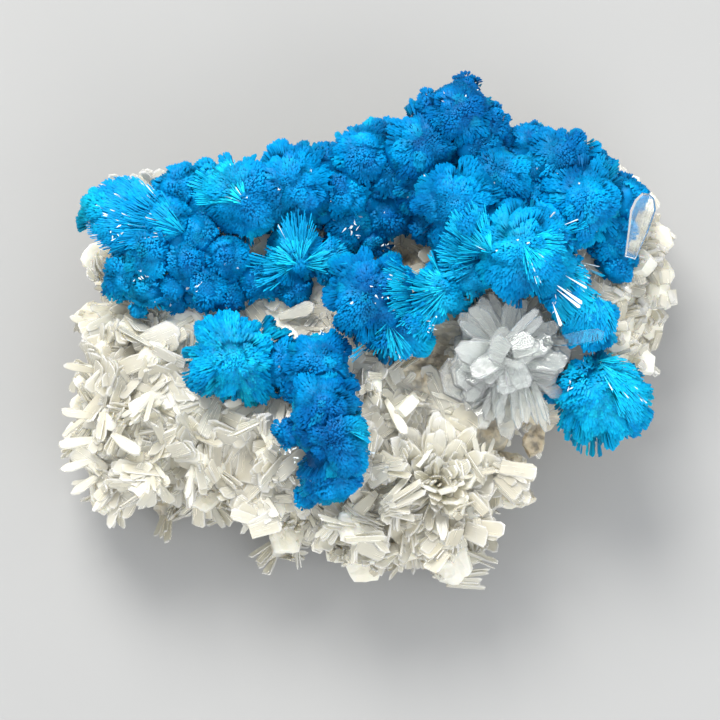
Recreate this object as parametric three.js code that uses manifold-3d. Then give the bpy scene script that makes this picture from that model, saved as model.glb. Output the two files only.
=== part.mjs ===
// A specimen of cavansite on stilbite, in millimetres, with +Z up and the rest face at z = 0.
// A block of rock covered in pale stilbite blades carries a crust of blue cavansite rosettes over
// its north half, a smaller cluster of rosettes to the south-west, one rosette on its south-east
// shoulder, a glassy sheaf of stilbite and one clear blade.

import * as THREE from 'three';
import { mergeVertices } from 'three/addons/utils/BufferGeometryUtils.js';
import Module from 'manifold-3d';

const wasm = await Module();
wasm.setup();

// ---------------------------------------------------------------- driving dimensions

const LAYOUT_CENTRE = [-0.3, 0];   // middle of the specimen in the layout's own x and y
const SEAT_GAP = 0.35;             // clearance between pieces that touch

// The rock: its widest outline, then the rings from the rest face to the shoulder, then the rings of
// its top as shares of the outline.
const ROCK_SEED = 11;
const ROCK_MIDDLE = [0, -2];
const ROCK_OUTLINE = [
  [32, 5], [32.5, 10], [30.5, 14.5], [27, 17], [22, 18], [16, 18.5], [10, 20.5], [5, 19.5],
  [-1, 18.5], [-7, 17.5], [-13, 16], [-19, 15], [-24.5, 14], [-28.5, 11], [-28, 5], [-30, -2],
  [-31, -9], [-31.5, -14], [-26, -16], [-19, -16], [-13, -18.5], [-5, -21.5], [4, -25],
  [10, -22.5], [13.5, -15], [16.5, -10], [23.5, -8.5], [27.5, -6], [29.5, -1],
];
const ROCK_RINGS = [
  { inset: 5.5, z: 0 },
  { inset: 2.5, z: 2.5 },
  { inset: 0.5, z: 6.5 },
  { inset: 0, z: 11 },
  { inset: 2.5, z: 14.5 },
];
const ROCK_TOP_RINGS = [0.74, 0.5, 0.26];
const ROCK_ROUGHNESS = 1;          // how far a corner may be off its ring
const ROCK_SWELL = 0.5;            // how far the cutter for pieces on the rock stands off it
const TOP_LEVEL = 16.5;
const TOP_SWELLS = [
  { x: -20, y: -4, rise: 1.5, spread: 12 },
  { x: -12, y: 13, rise: 2, spread: 9 },
  { x: 9, y: 16, rise: 4, spread: 8 },
  { x: 22, y: 13, rise: 1.5, spread: 7 },
  { x: -5.5, y: -10, rise: 3.5, spread: 6 },
  { x: 0, y: 2, rise: 2.5, spread: 5 },
  { x: 3, y: 9, rise: -5, spread: 4 },
];

// Cavansite rosettes: x, y and z of the middle, then the radius to the tips.
const CRUST = {
  seed: 100,
  rosettes: [
    // west end
    [-27.5, 12, 20, 4.6], [-26, 5.5, 19.5, 3.6], [-22.5, 8.5, 22.5, 3.8], [-19, 4.5, 21.5, 3.8],
    [-14.5, 7, 21, 4],
    // north edge, from west to east
    [-20.5, 15, 20.5, 3.6], [-14, 13.5, 22, 5.2], [-8.5, 15, 22, 5.2], [-3, 18, 21, 4],
    [1.5, 17.5, 21.5, 4.2],
    // the peak
    [6, 19, 24, 4.6], [9.5, 23.3, 26, 4.4], [12.5, 19.5, 22, 3.8],
    // east end
    [19, 18.5, 21.5, 4.6], [23.5, 13.5, 23, 5], [28, 13.5, 20, 3.4], [26.5, 8.5, 20, 3.6],
    [23.5, 0, 21, 3.6],
    // middle
    [9, 12, 25.5, 5], [14, 15, 25, 4], [16, 6.5, 26, 5.4], [20.5, 5, 22, 3.8],
    // south edge
    [7, 3.5, 22.5, 4.6], [-0.5, 2.5, 24, 5.2], [2.5, -1, 22, 4.2], [-8.5, 6.5, 21, 4.4],
    // low ones in the hollow
    [-2.5, 9.5, 19.5, 4.8], [3, 13, 18.5, 3.4], [19, 10.5, 20.5, 4],
  ],
};
const CLUSTER = {
  seed: 200,
  rosettes: [
    // the round one at the west, then the ridge from north to south, then two small ones
    [-15, -4.5, 21, 5.6], [-10, -5, 21.5, 3.2], [-6, -5, 23, 4.2], [-5.5, -10, 25, 4],
    [-4.5, -13.5, 24, 4.6], [-5, -17, 20.5, 3.6], [-7, -19, 18.5, 1.8], [0, -12, 22, 2.4],
  ],
};
const EAST = {
  seed: 300,
  rosettes: [[24.5, -8.3, 18, 5.2], [20, -7.3, 18, 1.6]],
};
// Shares of the radius: how much the tips differ, how deep the furrows are and how much they differ.
// Rosettes of the radius `fineFrom` or more have more tips.
const ROSETTE = { tipScatter: 0.06, furrow: 0.8, furrowScatter: 0.04, fineFrom: 5.5 };
const SAME_WAY = 0.999;            // cosine above which two directions are one

// A stilbite blade's outline, as shares of its length and its width.
const BLADE_OUTLINE = [[0, -0.35], [0.8, -0.5], [1, -0.08], [0.84, 0.5], [0, 0.35]];
const BLADE_HALF_WIDTH = 0.55;     // share of the width that is kept clear on each side of a blade
const CLEAR_STEPS = 6;             // places along a blade that are tested for clearance
const ROOT_DEPTH = 2;              // how deep a blade stands in the rock
const TIP_REACH = new THREE.Box3(new THREE.Vector3(-34.6, -28, 1.5), new THREE.Vector3(34.8, 23, 24));

// Blades that grow on the rock: length above it, width and thickness, each as lowest and highest.
const BEDS_SEED = 29;
const BED_ATTEMPTS = 4000;         // places tried for each bed
const LEAST_UPRIGHT = 0.3;         // cosine of the widest angle between a blade and the rock's normal
const BEDS = [
  {
    // long blades that fringe the west and south walls
    count: 38, spacing: 3.6, lean: 0.45, length: [3.4, 6.2], width: [2.4, 3.8], thick: [0.6, 0.9],
    place: (p) => p.z > 3 && p.z < 15.5 && (p.x < -22 || p.y < -12),
  },
  {
    // flat-lying blades on top of the west and south parts
    count: 32, spacing: 3.4, lean: 0.8, length: [2.6, 4.6], width: [2.4, 3.8], thick: [0.6, 0.9],
    place: (p) => p.z > 14 && p.y < 2,
  },
  {
    // short blades along the north and south-east walls
    count: 15, spacing: 5, lean: 0.6, length: [2.2, 4], width: [2, 3.2], thick: [0.6, 1],
    place: (p) => p.z > 3 && p.z < 14 && (p.y > 11 || (p.x > 10 && p.y < 2)),
  },
  {
    // stubby crystals of the east margin
    count: 15, spacing: 3.4, lean: 0.5, length: [2, 3.4], width: [2, 3], thick: [1, 1.6],
    place: (p) => p.z > 5 && p.x > 26 && p.y > -6,
  },
];
const BURST = {
  // the radial stilbite rosette at the south end
  seed: 41,
  middle: [7, -17, 14.5], length: 7.4, width: [2.4, 3.4], thick: [0.7, 1],
  rings: [{ count: 9, rise: 14 }, { count: 5, rise: 42 }, { count: 2, rise: 70 }],
};
const SHEAF = {
  // the glassy sheaf that stands by itself
  seed: 53,
  middle: [14.5, -5, 17.6], length: 7.4, width: [2, 3], thick: [0.6, 0.9],
  rings: [{ count: 6, rise: 12 }, { count: 4, rise: 42 }, { count: 1, rise: 80 }],
};
// How the blades of a burst differ: in angle as a share of their spacing, in rise in degrees, and
// the shortest length as a share of the longest. The more `level`, the flatter their broad faces lie.
const BURST_SCATTER = { around: 0.6, rise: 10, shortest: 0.86, level: 1.2 };
const CLEAR_BLADE = {
  foot: [28, 6.8, 23.1], top: [29.5, 12.9, 25.6], face: [0.35, -0.4, 1], width: 2.6, thick: 0.7,
};
const SHEAF_REACH = SHEAF.length + 0.9;   // the rock's own blades keep out of these two reaches
const CLEAR_BLADE_REACH = 5;
const WELD = 1e-4;                 // corners nearer than this are one

// ---------------------------------------------------------------- shared helpers

const random = () => THREE.MathUtils.seededRandom();
const between = ([low, high]) => low + (high - low) * random();
const vector = (list) => new THREE.Vector3(...list);

function bare(geometry) {
  geometry.deleteAttribute('normal');
  geometry.deleteAttribute('uv');
  return mergeVertices(geometry, WELD);
}

function toSolid(geometry) {
  const vertProperties = new Float32Array(geometry.attributes.position.array);
  const triVerts = new Uint32Array(geometry.index.array);
  return new wasm.Manifold(new wasm.Mesh({ numProp: 3, vertProperties, triVerts }));
}

function toMesh(name, solid, look) {
  const data = solid.getMesh();
  const geometry = new THREE.BufferGeometry();
  geometry.setAttribute('position', new THREE.BufferAttribute(new Float32Array(data.vertProperties), 3));
  geometry.setIndex(new THREE.BufferAttribute(new Uint32Array(data.triVerts), 1));
  const mesh = new THREE.Mesh(geometry, new THREE.MeshStandardMaterial({ ...look, flatShading: true }));
  mesh.name = name;
  return mesh;
}

function randomTurn() {
  const turn = new THREE.Quaternion(random() - 0.5, random() - 0.5, random() - 0.5, random() - 0.5);
  return turn.normalize();
}

// ---------------------------------------------------------------- the rock

function topHeight(x, y) {
  let z = TOP_LEVEL;
  for (const swell of TOP_SWELLS) {
    const away = ((x - swell.x) ** 2 + (y - swell.y) ** 2) / swell.spread ** 2;
    z += swell.rise * Math.exp(-away);
  }
  return z;
}

function rockGeometry() {
  THREE.MathUtils.seededRandom(ROCK_SEED);
  const middle = new THREE.Vector2(...ROCK_MIDDLE);
  const points = [];
  const rough = () => (random() - 0.5) * 2 * ROCK_ROUGHNESS;
  for (const ring of ROCK_RINGS) {
    for (const corner of ROCK_OUTLINE) {
      const out = new THREE.Vector2(...corner).sub(middle);
      out.setLength(out.length() - ring.inset + (ring.z > 0 ? rough() : 0));
      points.push(middle.x + out.x, middle.y + out.y, ring.z > 0 ? ring.z + rough() : 0);
    }
  }
  for (const share of ROCK_TOP_RINGS) {
    for (const corner of ROCK_OUTLINE) {
      const out = new THREE.Vector2(...corner).sub(middle).multiplyScalar(share);
      const x = middle.x + out.x + rough() * share;
      const y = middle.y + out.y + rough() * share;
      points.push(x, y, topHeight(x, y) + rough() * share * share);
    }
  }
  const sides = ROCK_OUTLINE.length;
  const rings = ROCK_RINGS.length + ROCK_TOP_RINGS.length;
  const triangles = [];
  for (let ring = 0; ring < rings - 1; ring++) {
    for (let side = 0; side < sides; side++) {
      const a = ring * sides + side;
      const b = ring * sides + (side + 1) % sides;
      triangles.push(a, b, a + sides, b, b + sides, a + sides);
    }
  }
  const foot = rings * sides;
  const crown = foot + 1;
  points.push(middle.x, middle.y, 0);
  points.push(middle.x, middle.y, topHeight(middle.x, middle.y));
  for (let side = 0; side < sides; side++) {
    const next = (side + 1) % sides;
    triangles.push(foot, next, side);
    triangles.push(crown, (rings - 1) * sides + side, (rings - 1) * sides + next);
  }
  const geometry = new THREE.BufferGeometry();
  geometry.setAttribute('position', new THREE.Float32BufferAttribute(points, 3));
  geometry.setIndex(triangles);
  return geometry;
}

// The swollen rock, which everything that sits on the rock is cut by.
function swollenRock(rock) {
  const geometry = rock.clone();
  geometry.computeVertexNormals();
  const places = geometry.attributes.position;
  const point = new THREE.Vector3();
  const normal = new THREE.Vector3();
  for (let i = 0; i < places.count; i++) {
    normal.fromBufferAttribute(geometry.attributes.normal, i);
    point.fromBufferAttribute(places, i).addScaledVector(normal, ROCK_SWELL);
    places.setXYZ(i, point.x, point.y, point.z);
  }
  geometry.deleteAttribute('normal');
  return geometry;
}

// ---------------------------------------------------------------- cavansite rosettes

function tipDirections() {
  const geometry = bare(new THREE.IcosahedronGeometry(1, 0));
  const places = geometry.attributes.position;
  const directions = [];
  for (let i = 0; i < places.count; i++) {
    directions.push(new THREE.Vector3().fromBufferAttribute(places, i));
  }
  const faces = geometry.index.array;
  const corners = directions.slice();
  for (let i = 0; i < faces.length; i += 3) {
    const middle = corners[faces[i]].clone().add(corners[faces[i + 1]]).add(corners[faces[i + 2]]);
    directions.push(middle.normalize());
  }
  return directions;
}

const TIPS = tipDirections();

// A ball of pyramids: tips at the radius, with furrows between them. The same seed gives the same
// rosette at any `growth` past its radius.
function rosette([x, y, z, radius], seed, growth) {
  THREE.MathUtils.seededRandom(seed);
  const geometry = bare(new THREE.IcosahedronGeometry(1, radius >= ROSETTE.fineFrom ? 2 : 1));
  const places = geometry.attributes.position;
  const turn = randomTurn();
  const point = new THREE.Vector3();
  for (let i = 0; i < places.count; i++) {
    point.fromBufferAttribute(places, i);
    const isTip = TIPS.some((tip) => tip.dot(point) > SAME_WAY);
    const scatter = (random() - 0.5) * 2 * (isTip ? ROSETTE.tipScatter : ROSETTE.furrowScatter);
    const reach = radius * ((isTip ? 1 : ROSETTE.furrow) + scatter) + growth;
    point.applyQuaternion(turn).multiplyScalar(reach);
    places.setXYZ(i, x + point.x, y + point.y, z + point.z);
  }
  return toSolid(geometry);
}

function grownTogether({ rosettes, seed }, growth = 0) {
  return wasm.Manifold.union(rosettes.map((ball, i) => rosette(ball, seed + i, growth)));
}

// ---------------------------------------------------------------- stilbite blades

// A flat crystal with a blunt point, from its root along `axis`, with its broad face across `face`.
function bladeGeometry({ root, axis, face, length, width, thick }) {
  const corners = BLADE_OUTLINE.map(([along, across]) => new THREE.Vector2(along * length, across * width));
  const shape = new THREE.Shape(corners);
  const geometry = bare(new THREE.ExtrudeGeometry(shape, { depth: thick, bevelEnabled: false }));
  geometry.translate(0, 0, -thick / 2);
  const side = new THREE.Vector3().crossVectors(face, axis).normalize();
  const up = new THREE.Vector3().crossVectors(axis, side);
  geometry.applyMatrix4(new THREE.Matrix4().makeBasis(axis, side, up).setPosition(root));
  return geometry;
}

// Blades that radiate from one point in rings of rising steepness.
function burstBlades({ middle, length, width, thick, rings, seed }) {
  THREE.MathUtils.seededRandom(seed);
  const blades = [];
  for (const ring of rings) {
    for (let i = 0; i < ring.count; i++) {
      const place = i + BURST_SCATTER.around * (random() - 0.5);
      const around = (place / ring.count) * 2 * Math.PI;
      const rise = THREE.MathUtils.degToRad(ring.rise + BURST_SCATTER.rise * (random() - 0.5));
      const axis = new THREE.Vector3(
        Math.cos(around) * Math.cos(rise), Math.sin(around) * Math.cos(rise), Math.sin(rise));
      const face = new THREE.Vector3(random() - 0.5, random() - 0.5, BURST_SCATTER.level);
      blades.push({
        root: vector(middle), axis, face, length: length * between([BURST_SCATTER.shortest, 1]),
        width: between(width), thick: between(thick),
      });
    }
  }
  return blades;
}

function randomFace(geometry, areas, total) {
  let mark = random() * total;
  let face = 0;
  while (mark > areas[face]) {
    mark -= areas[face];
    face++;
  }
  const corners = [0, 1, 2].map((corner) => new THREE.Vector3().fromBufferAttribute(
    geometry.attributes.position, geometry.index.array[face * 3 + corner]));
  return new THREE.Triangle(...corners);
}

function faceAreas(geometry) {
  const areas = [];
  for (let i = 0; i < geometry.index.count; i += 3) {
    const corners = [0, 1, 2].map((corner) => new THREE.Vector3().fromBufferAttribute(
      geometry.attributes.position, geometry.index.array[i + corner]));
    areas.push(new THREE.Triangle(...corners).getArea());
  }
  return areas;
}

// True where no part of the blade comes near a kept-out ball.
function isClear(blade, keepOut) {
  const margin = SEAT_GAP + blade.width * BLADE_HALF_WIDTH;
  for (let i = 0; i <= CLEAR_STEPS; i++) {
    const point = blade.root.clone().addScaledVector(blade.axis, (blade.length * i) / CLEAR_STEPS);
    const touched = ([x, y, z, radius]) => {
      const reach = radius * (1 + ROSETTE.tipScatter) + margin;
      return point.distanceTo(new THREE.Vector3(x, y, z)) < reach;
    };
    if (keepOut.some(touched)) {
      return false;
    }
  }
  return true;
}

// Blades scattered over the parts of the rock that each bed names.
function bedBlades(rock, keepOut) {
  THREE.MathUtils.seededRandom(BEDS_SEED);
  const areas = faceAreas(rock);
  const total = areas.reduce((sum, area) => sum + area, 0);
  const blades = [];
  for (const bed of BEDS) {
    let grown = 0;
    for (let attempt = 0; attempt < BED_ATTEMPTS && grown < bed.count; attempt++) {
      const triangle = randomFace(rock, areas, total);
      const normal = triangle.getNormal(new THREE.Vector3());
      const weights = [random(), random()];
      if (weights[0] + weights[1] > 1) {
        weights[0] = 1 - weights[0];
        weights[1] = 1 - weights[1];
      }
      const place = triangle.a.clone()
        .addScaledVector(triangle.b.clone().sub(triangle.a), weights[0])
        .addScaledVector(triangle.c.clone().sub(triangle.a), weights[1]);
      const lean = new THREE.Vector3(random() - 0.5, random() - 0.5, random() - 0.5);
      const axis = normal.clone().addScaledVector(lean, 2 * bed.lean).normalize();
      const face = new THREE.Vector3(random() - 0.5, random() - 0.5, 1);
      const blade = {
        root: place.clone().addScaledVector(axis, -ROOT_DEPTH), axis, face,
        length: between(bed.length) + ROOT_DEPTH, width: between(bed.width), thick: between(bed.thick),
      };
      const crowded = blades.some((other) => other.place.distanceTo(place) < bed.spacing);
      const tip = blade.root.clone().addScaledVector(axis, blade.length);
      const isUpright = axis.dot(normal) > LEAST_UPRIGHT;
      const fits = bed.place(place) && isUpright && TIP_REACH.containsPoint(tip);
      if (fits && !crowded && isClear(blade, keepOut)) {
        blades.push({ ...blade, place });
        grown++;
      }
    }
  }
  return blades;
}

// ---------------------------------------------------------------- the specimen

const PALE_STILBITE = { color: 0xe4e0cf, roughness: 0.35, metalness: 0 };
const GLASSY_STILBITE = { color: 0xdfe4e0, roughness: 0.15, metalness: 0 };
const CAVANSITE_BLUE = { color: 0x0a86d6, roughness: 0.5, metalness: 0 };

const rock = rockGeometry();
const rockCutter = toSolid(swollenRock(rock));
const crustCutter = grownTogether(CRUST, SEAT_GAP);
const clusterCutter = grownTogether(CLUSTER, SEAT_GAP);
const eastCutter = grownTogether(EAST, SEAT_GAP);

const bladeFoot = vector(CLEAR_BLADE.foot);
const bladeTop = vector(CLEAR_BLADE.top);

function matrix() {
  const keepOut = [
    ...CRUST.rosettes, ...CLUSTER.rosettes, ...EAST.rosettes,
    [...SHEAF.middle, SHEAF_REACH],
    [...bladeFoot.clone().lerp(bladeTop, 0.5).toArray(), CLEAR_BLADE_REACH],
  ];
  const beds = bedBlades(rock, keepOut);
  const burst = burstBlades(BURST).filter((blade) => isClear(blade, keepOut));
  const blades = [...beds, ...burst].map((blade) => toSolid(bladeGeometry(blade)));
  return wasm.Manifold.union([toSolid(rock), ...blades]);
}

function crust() {
  return grownTogether(CRUST).subtract(rockCutter);
}

function clusterSouth() {
  return grownTogether(CLUSTER).subtract(rockCutter).subtract(crustCutter);
}

function rosetteEast() {
  return grownTogether(EAST).subtract(rockCutter).subtract(crustCutter);
}

function sheaf() {
  const blades = burstBlades(SHEAF).map((blade) => toSolid(bladeGeometry(blade)));
  const neighbours = wasm.Manifold.union([rockCutter, crustCutter, clusterCutter, eastCutter]);
  return wasm.Manifold.union(blades).subtract(neighbours);
}

function clearBlade() {
  const axis = bladeTop.clone().sub(bladeFoot);
  const length = axis.length();
  const solid = toSolid(bladeGeometry({
    root: bladeFoot, axis: axis.normalize(), face: vector(CLEAR_BLADE.face), length,
    width: CLEAR_BLADE.width, thick: CLEAR_BLADE.thick,
  }));
  return solid.subtract(crustCutter);
}

const specimen = new THREE.Group();
specimen.position.set(-LAYOUT_CENTRE[0], -LAYOUT_CENTRE[1], 0);
specimen.add(
  toMesh('stilbite_matrix', matrix(), PALE_STILBITE),
  toMesh('cavansite_crust', crust(), CAVANSITE_BLUE),
  toMesh('cavansite_cluster_south', clusterSouth(), CAVANSITE_BLUE),
  toMesh('cavansite_rosette_east', rosetteEast(), CAVANSITE_BLUE),
  toMesh('stilbite_sheaf', sheaf(), GLASSY_STILBITE),
  toMesh('clear_stilbite_blade', clearBlade(), GLASSY_STILBITE),
);

export default specimen;
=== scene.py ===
"""Looks of a cavansite specimen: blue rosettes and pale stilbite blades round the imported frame.

Sizes and places are in millimetres in the specimen's own layout, +Z up with the rest face at z = 0.
LAYOUT_SHIFT carries the layout into the frame, and MM turns it into metres as a mesh is made.
"""

from collections import namedtuple
import math

import bmesh
import bpy
import numpy as np
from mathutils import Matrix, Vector, noise
from mathutils.bvhtree import BVHTree


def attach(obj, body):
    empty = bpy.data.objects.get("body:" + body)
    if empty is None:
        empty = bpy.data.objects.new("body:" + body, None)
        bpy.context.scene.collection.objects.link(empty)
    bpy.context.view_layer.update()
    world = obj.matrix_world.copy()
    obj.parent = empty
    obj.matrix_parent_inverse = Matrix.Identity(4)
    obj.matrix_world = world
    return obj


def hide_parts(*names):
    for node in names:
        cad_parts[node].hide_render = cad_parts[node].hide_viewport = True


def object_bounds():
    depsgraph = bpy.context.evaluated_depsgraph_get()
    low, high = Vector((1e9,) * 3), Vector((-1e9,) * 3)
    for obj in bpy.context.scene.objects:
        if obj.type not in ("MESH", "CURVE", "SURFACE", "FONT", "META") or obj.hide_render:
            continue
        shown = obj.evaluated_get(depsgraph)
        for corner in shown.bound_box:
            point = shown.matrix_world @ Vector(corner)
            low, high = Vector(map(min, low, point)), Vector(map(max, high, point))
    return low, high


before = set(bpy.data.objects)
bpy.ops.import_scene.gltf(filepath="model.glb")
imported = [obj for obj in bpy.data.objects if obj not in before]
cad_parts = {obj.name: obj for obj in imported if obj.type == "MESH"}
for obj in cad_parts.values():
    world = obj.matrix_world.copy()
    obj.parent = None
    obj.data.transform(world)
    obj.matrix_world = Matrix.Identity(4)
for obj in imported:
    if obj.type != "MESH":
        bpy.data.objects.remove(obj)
CAD_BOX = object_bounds()

MM = 0.001
LAYOUT_SHIFT = np.array([0.3, 0.0, 0.0])
GOLDEN_ANGLE = math.pi * (3 - math.sqrt(5))

# ---------------------------------------------------------------- cavansite: where the rosettes are

# x, y, z of the middle and the radius to the tips.
WEST_BALLS = [
    (-27.5, 12, 20, 4.6), (-21.5, 15, 21, 3.0), (-22.5, 10.5, 23, 2.7), (-17.5, 16, 19.5, 2.8),
    (-27.5, 5.5, 19, 2.6), (-24.5, 7, 22, 3.0), (-24.5, 3.5, 20, 2.4), (-20.5, 6.5, 22, 2.8),
    (-22, 4, 21, 1.8), (-18.5, 4, 21, 3.0), (-16, 7, 22, 2.8), (-16, 3, 20, 2.2),
    (-19, 9.5, 22, 2.6), (-23, 10, 21, 2.2), (-28.5, 4.5, 17.5, 1.8), (-26, 1.8, 18, 1.2),
    (-21.5, 2.5, 18, 1.6), (-13, 5, 19.5, 2.6), (-8.5, 8, 20.5, 3.6), (-8.5, 4, 18.5, 2.4),
    (-18.5, 12.8, 21, 2.8), (-22.5, 12.5, 20.5, 3.0),
]
MIDDLE_BALLS = [
    (-14, 13.5, 22, 5.0), (-9, 14.5, 22, 5.2), (-5.5, 17.5, 20, 3.0), (-1, 18.5, 22, 4.0),
    (2, 21.5, 20, 1.7), (2.5, 17, 21, 3.6), (-2.5, 11.5, 18.5, 3.2), (1.5, 12.5, 18.5, 3.0),
    (0, 9.6, 17.5, 2.2), (6, 11.5, 19, 2.4), (-0.5, 2.5, 24, 5.0), (2.5, -1, 22, 4.0),
    (5.5, 19, 24, 4.2), (5.5, 15, 22, 3.4), (-4.5, 7, 20, 2.8), (-3.5, 14.5, 21, 3.2),
]
EAST_BALLS = [
    (9.3, 22.2, 26, 3.9), (9.9, 25.0, 25.2, 1.9), (6.6, 22.8, 25, 2.3), (12.6, 21.4, 24.4, 2.6),
    (12.5, 20, 22, 3.0), (17, 20, 20.5, 2.8), (20.5, 18, 22, 4.0),
    (9, 12, 26, 4.8), (14, 15.5, 25, 3.6), (23, 13, 23, 4.8), (28, 14, 20, 3.0),
    (26.5, 9.5, 20, 2.8), (8.5, 8.3, 23.5, 3.0), (16, 6.5, 26, 5.2), (27, 6.5, 18.5, 2.4),
    (23.5, 0, 21, 3.4), (7, 3, 21.5, 3.4), (10.5, 5, 22, 2.8), (20, 11, 21, 3.2),
    (24.5, 17, 21, 2.6), (20.5, 4, 21.5, 3.4), (17, 13, 22, 3.0),
]
CLUSTER_BALLS = [
    (-6, -5, 23, 4.0), (-3.5, -7, 22, 1.7), (-5.5, -10, 25, 4.0), (-4.5, -13.5, 24, 4.5),
    (-5, -17, 20.5, 3.6), (-7.3, -19, 18, 1.6), (-9, -12.5, 23, 1.9), (-10, -5, 21.5, 3.2),
]
SMALL_EAST_BALLS = [(20, -7.3, 18, 1.5)]
# Open rosettes show their radiating fibres. With each goes the way from its middle to the point that
# they radiate from, as shares of HUB_SHARE of its radius.
OPEN_CLUSTER_BALLS = [((-15, -4.5, 21, 5.6), (0, 0, 0.5))]
OPEN_EAST_BALLS = [((24.7, -8.2, 18.2, 5.5), (-0.2, 0.6, 0.5))]

# Rosettes broken open, whose fibres lie along the surface: x and y of the point they radiate from,
# their reach, compass angle and half spread in degrees, turquoise share, white share (painted glints).
WEST_COMBS = [
    (-20.2, 9.0, 12.0, 158, 34, 0.12, 0.012), (-13.6, 12.0, 6.6, 140, 34, 0.45, 0.01),
    (-8.0, 6.0, 4.8, 180, 36, 0.26, 0.004), (-8.0, 6.0, 4.6, 96, 34, 0.16, 0.004),
    (-8.0, 6.0, 5.0, 12, 28, 0.3, 0.004),
]
MIDDLE_COMBS = [(1.6, -1.0, 6.0, 265, 50, 0.3, 0.004)]
EAST_COMBS = [
    (8.2, 3.2, 6.6, 190, 72, 0.4, 0.006), (12.8, 5.8, 5.6, 150, 55, 0.35, 0.004),
    (15.8, 7.0, 9.0, 332, 52, 0.4, 0.016), (23.6, 3.6, 6.4, 270, 44, 0.2, 0.004),
]
CLUSTER_COMBS = [(-4.0, -12.4, 6.6, 4, 30, 0.4, 0.004)]
EAST_ROSETTE_COMBS = [
    (24.2, -4.4, 9.0, 8, 26, 0.4, 0.01), (24.2, -4.4, 9.6, 316, 20, 0.4, 0.012),
]

# Small pale crystals caught in the crust, whose white also serves as painted glints: x, y, z of the
# middle of a patch, its radius, how many.
WEST_PATCHES = [((-28, 9, 23.4), 0.7, 7), ((-25, 4.2, 22.8), 0.6, 5), ((-18.6, 3.2, 23.8), 0.5, 4)]
MIDDLE_PATCHES = [((-2.4, 10.6, 21.4), 1.3, 12), ((0.6, 1.2, 28.7), 0.8, 6), ((1.4, 8.4, 19.6), 1.2, 6)]
EAST_PATCHES = [((6.4, -0.8, 23.6), 0.9, 10), ((19.6, 1.2, 25.6), 0.8, 6), ((23, 6, 23), 0.6, 4)]
CLUSTER_PATCHES = [((-9, -14.6, 23.6), 1.0, 14), ((-5.4, -2, 26.2), 0.5, 4), ((-0.4, -15, 23.6), 0.5, 4)]
EAST_ROSETTE_PATCHES = [((21.6, -7.4, 21.4), 0.7, 6)]
# Long pale blades that stand out of the crust: foot, tip, width, thickness.
EAST_PALE_BLADES = [
    ((19.0, 3.0, 28.4), (22.4, 0.8, 27.2), 0.6, 0.3), ((19.4, 2.4, 27.8), (22.2, 0.4, 26.9), 0.4, 0.3),
    ((19.2, 1.0, 27.0), (20.2, -1.4, 25.8), 0.5, 0.3), ((20.2, 4.0, 27.6), (23.0, 2.6, 26.4), 0.4, 0.2),
]
# The pieces of cavansite: name, the solid it stands for, rosettes, open ones, combs, patches, pale
# blades.
CAVANSITE_PIECES = [
    ("cavansite_crust_west", "cavansite_crust", WEST_BALLS, [], WEST_COMBS, WEST_PATCHES, []),
    ("cavansite_crust_middle", "cavansite_crust", MIDDLE_BALLS, [], MIDDLE_COMBS, MIDDLE_PATCHES, []),
    ("cavansite_crust_east", "cavansite_crust", EAST_BALLS, [], EAST_COMBS, EAST_PATCHES,
     EAST_PALE_BLADES),
    ("cavansite_cluster", "cavansite_cluster_south", CLUSTER_BALLS, OPEN_CLUSTER_BALLS, CLUSTER_COMBS,
     CLUSTER_PATCHES, []),
    ("cavansite_east", "cavansite_rosette_east", SMALL_EAST_BALLS, OPEN_EAST_BALLS, EAST_ROSETTE_COMBS,
     EAST_ROSETTE_PATCHES, []),
]
CAVANSITE_SEED = 1000

# Where the blue is deeper or brighter than elsewhere: x and y of the middle, radius, change.
TONE_PLACES = [
    (9.5, 23.0, 6.0, -0.4), (-4.8, -12.0, 5.5, -0.42), (0.5, 1.5, 5.5, -0.35), (3.5, 12.0, 4.0, -0.3),
    (19.0, 19.5, 5.0, -0.2), (-21.0, 4.0, 6.0, -0.1), (-15.0, -4.5, 5.0, 0.15), (24.0, -7.0, 6.0, 0.3),
    (16.0, 6.0, 6.0, 0.25), (-14.0, 13.5, 5.0, 0.1), (9.0, 12.0, 5.0, 0.15), (-26.0, 11.0, 5.0, 0.05),
    (24.0, 8.0, 5.0, 0.1),
]
# Where the blue turns to turquoise: x and y of the middle, radius, share.
TURQUOISE_PLACES = [
    (-32.0, 12.6, 4.6, 0.5), (-17.0, 15.5, 2.6, 0.4), (-9.5, 8.6, 2.2, 0.25), (14.6, 7.2, 3.0, 0.25),
    (7.4, -3.6, 2.6, 0.3), (9.0, 2.0, 3.0, 0.25), (27.8, -7.4, 2.6, 0.3), (24.0, -12.4, 2.6, 0.2),
    (-26.0, 3.4, 2.4, 0.2), (0.2, -12.6, 2.4, 0.4), (-15.0, -4.4, 2.0, 0.2), (18.6, 17.6, 2.4, 0.15),
]

# Every point of the cavansite has a look: its share of turquoise, its tone from deep to bright blue,
# its painted shade from dark to lit, its share of white (pale crystals, also painted glints).
MIDDLE_TONE, COMB_TONE, CORE_TONE = 0.45, 0.46, 0.42  # of blades, of combs, of the bodies under blades
LOBE_TONES, TUFT_TONES, BLADE_TONES = 0.1, 0.06, 0.05  # how much these differ in tone
LOBE_SHADE, TUFT_SHADE = 0.22, 0.06  # painted shade, darker towards their borders
CORE_SHADE = (0.8, 0.2)  # painted shade of the body at the middle of a lobe, and how much darker at its border
BLADE_SHADES = (0.74, 0.94, 0.94, 0.94, 1.0)  # painted shade at a blade's root, its shoulder and its point
# Pale crystals, whose white also serves as painted glints.
PATCH_LOOK = (0.2, 0.6, 1.0, 0.95)
LONG_BLADE_LOOK = (0.3, 0.6, 1.0, 0.9)
GLINT_CHANCE, GLINT_WHITENESS = 0.0012, 0.8  # painted glints: single white blades all over the rosettes
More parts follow.
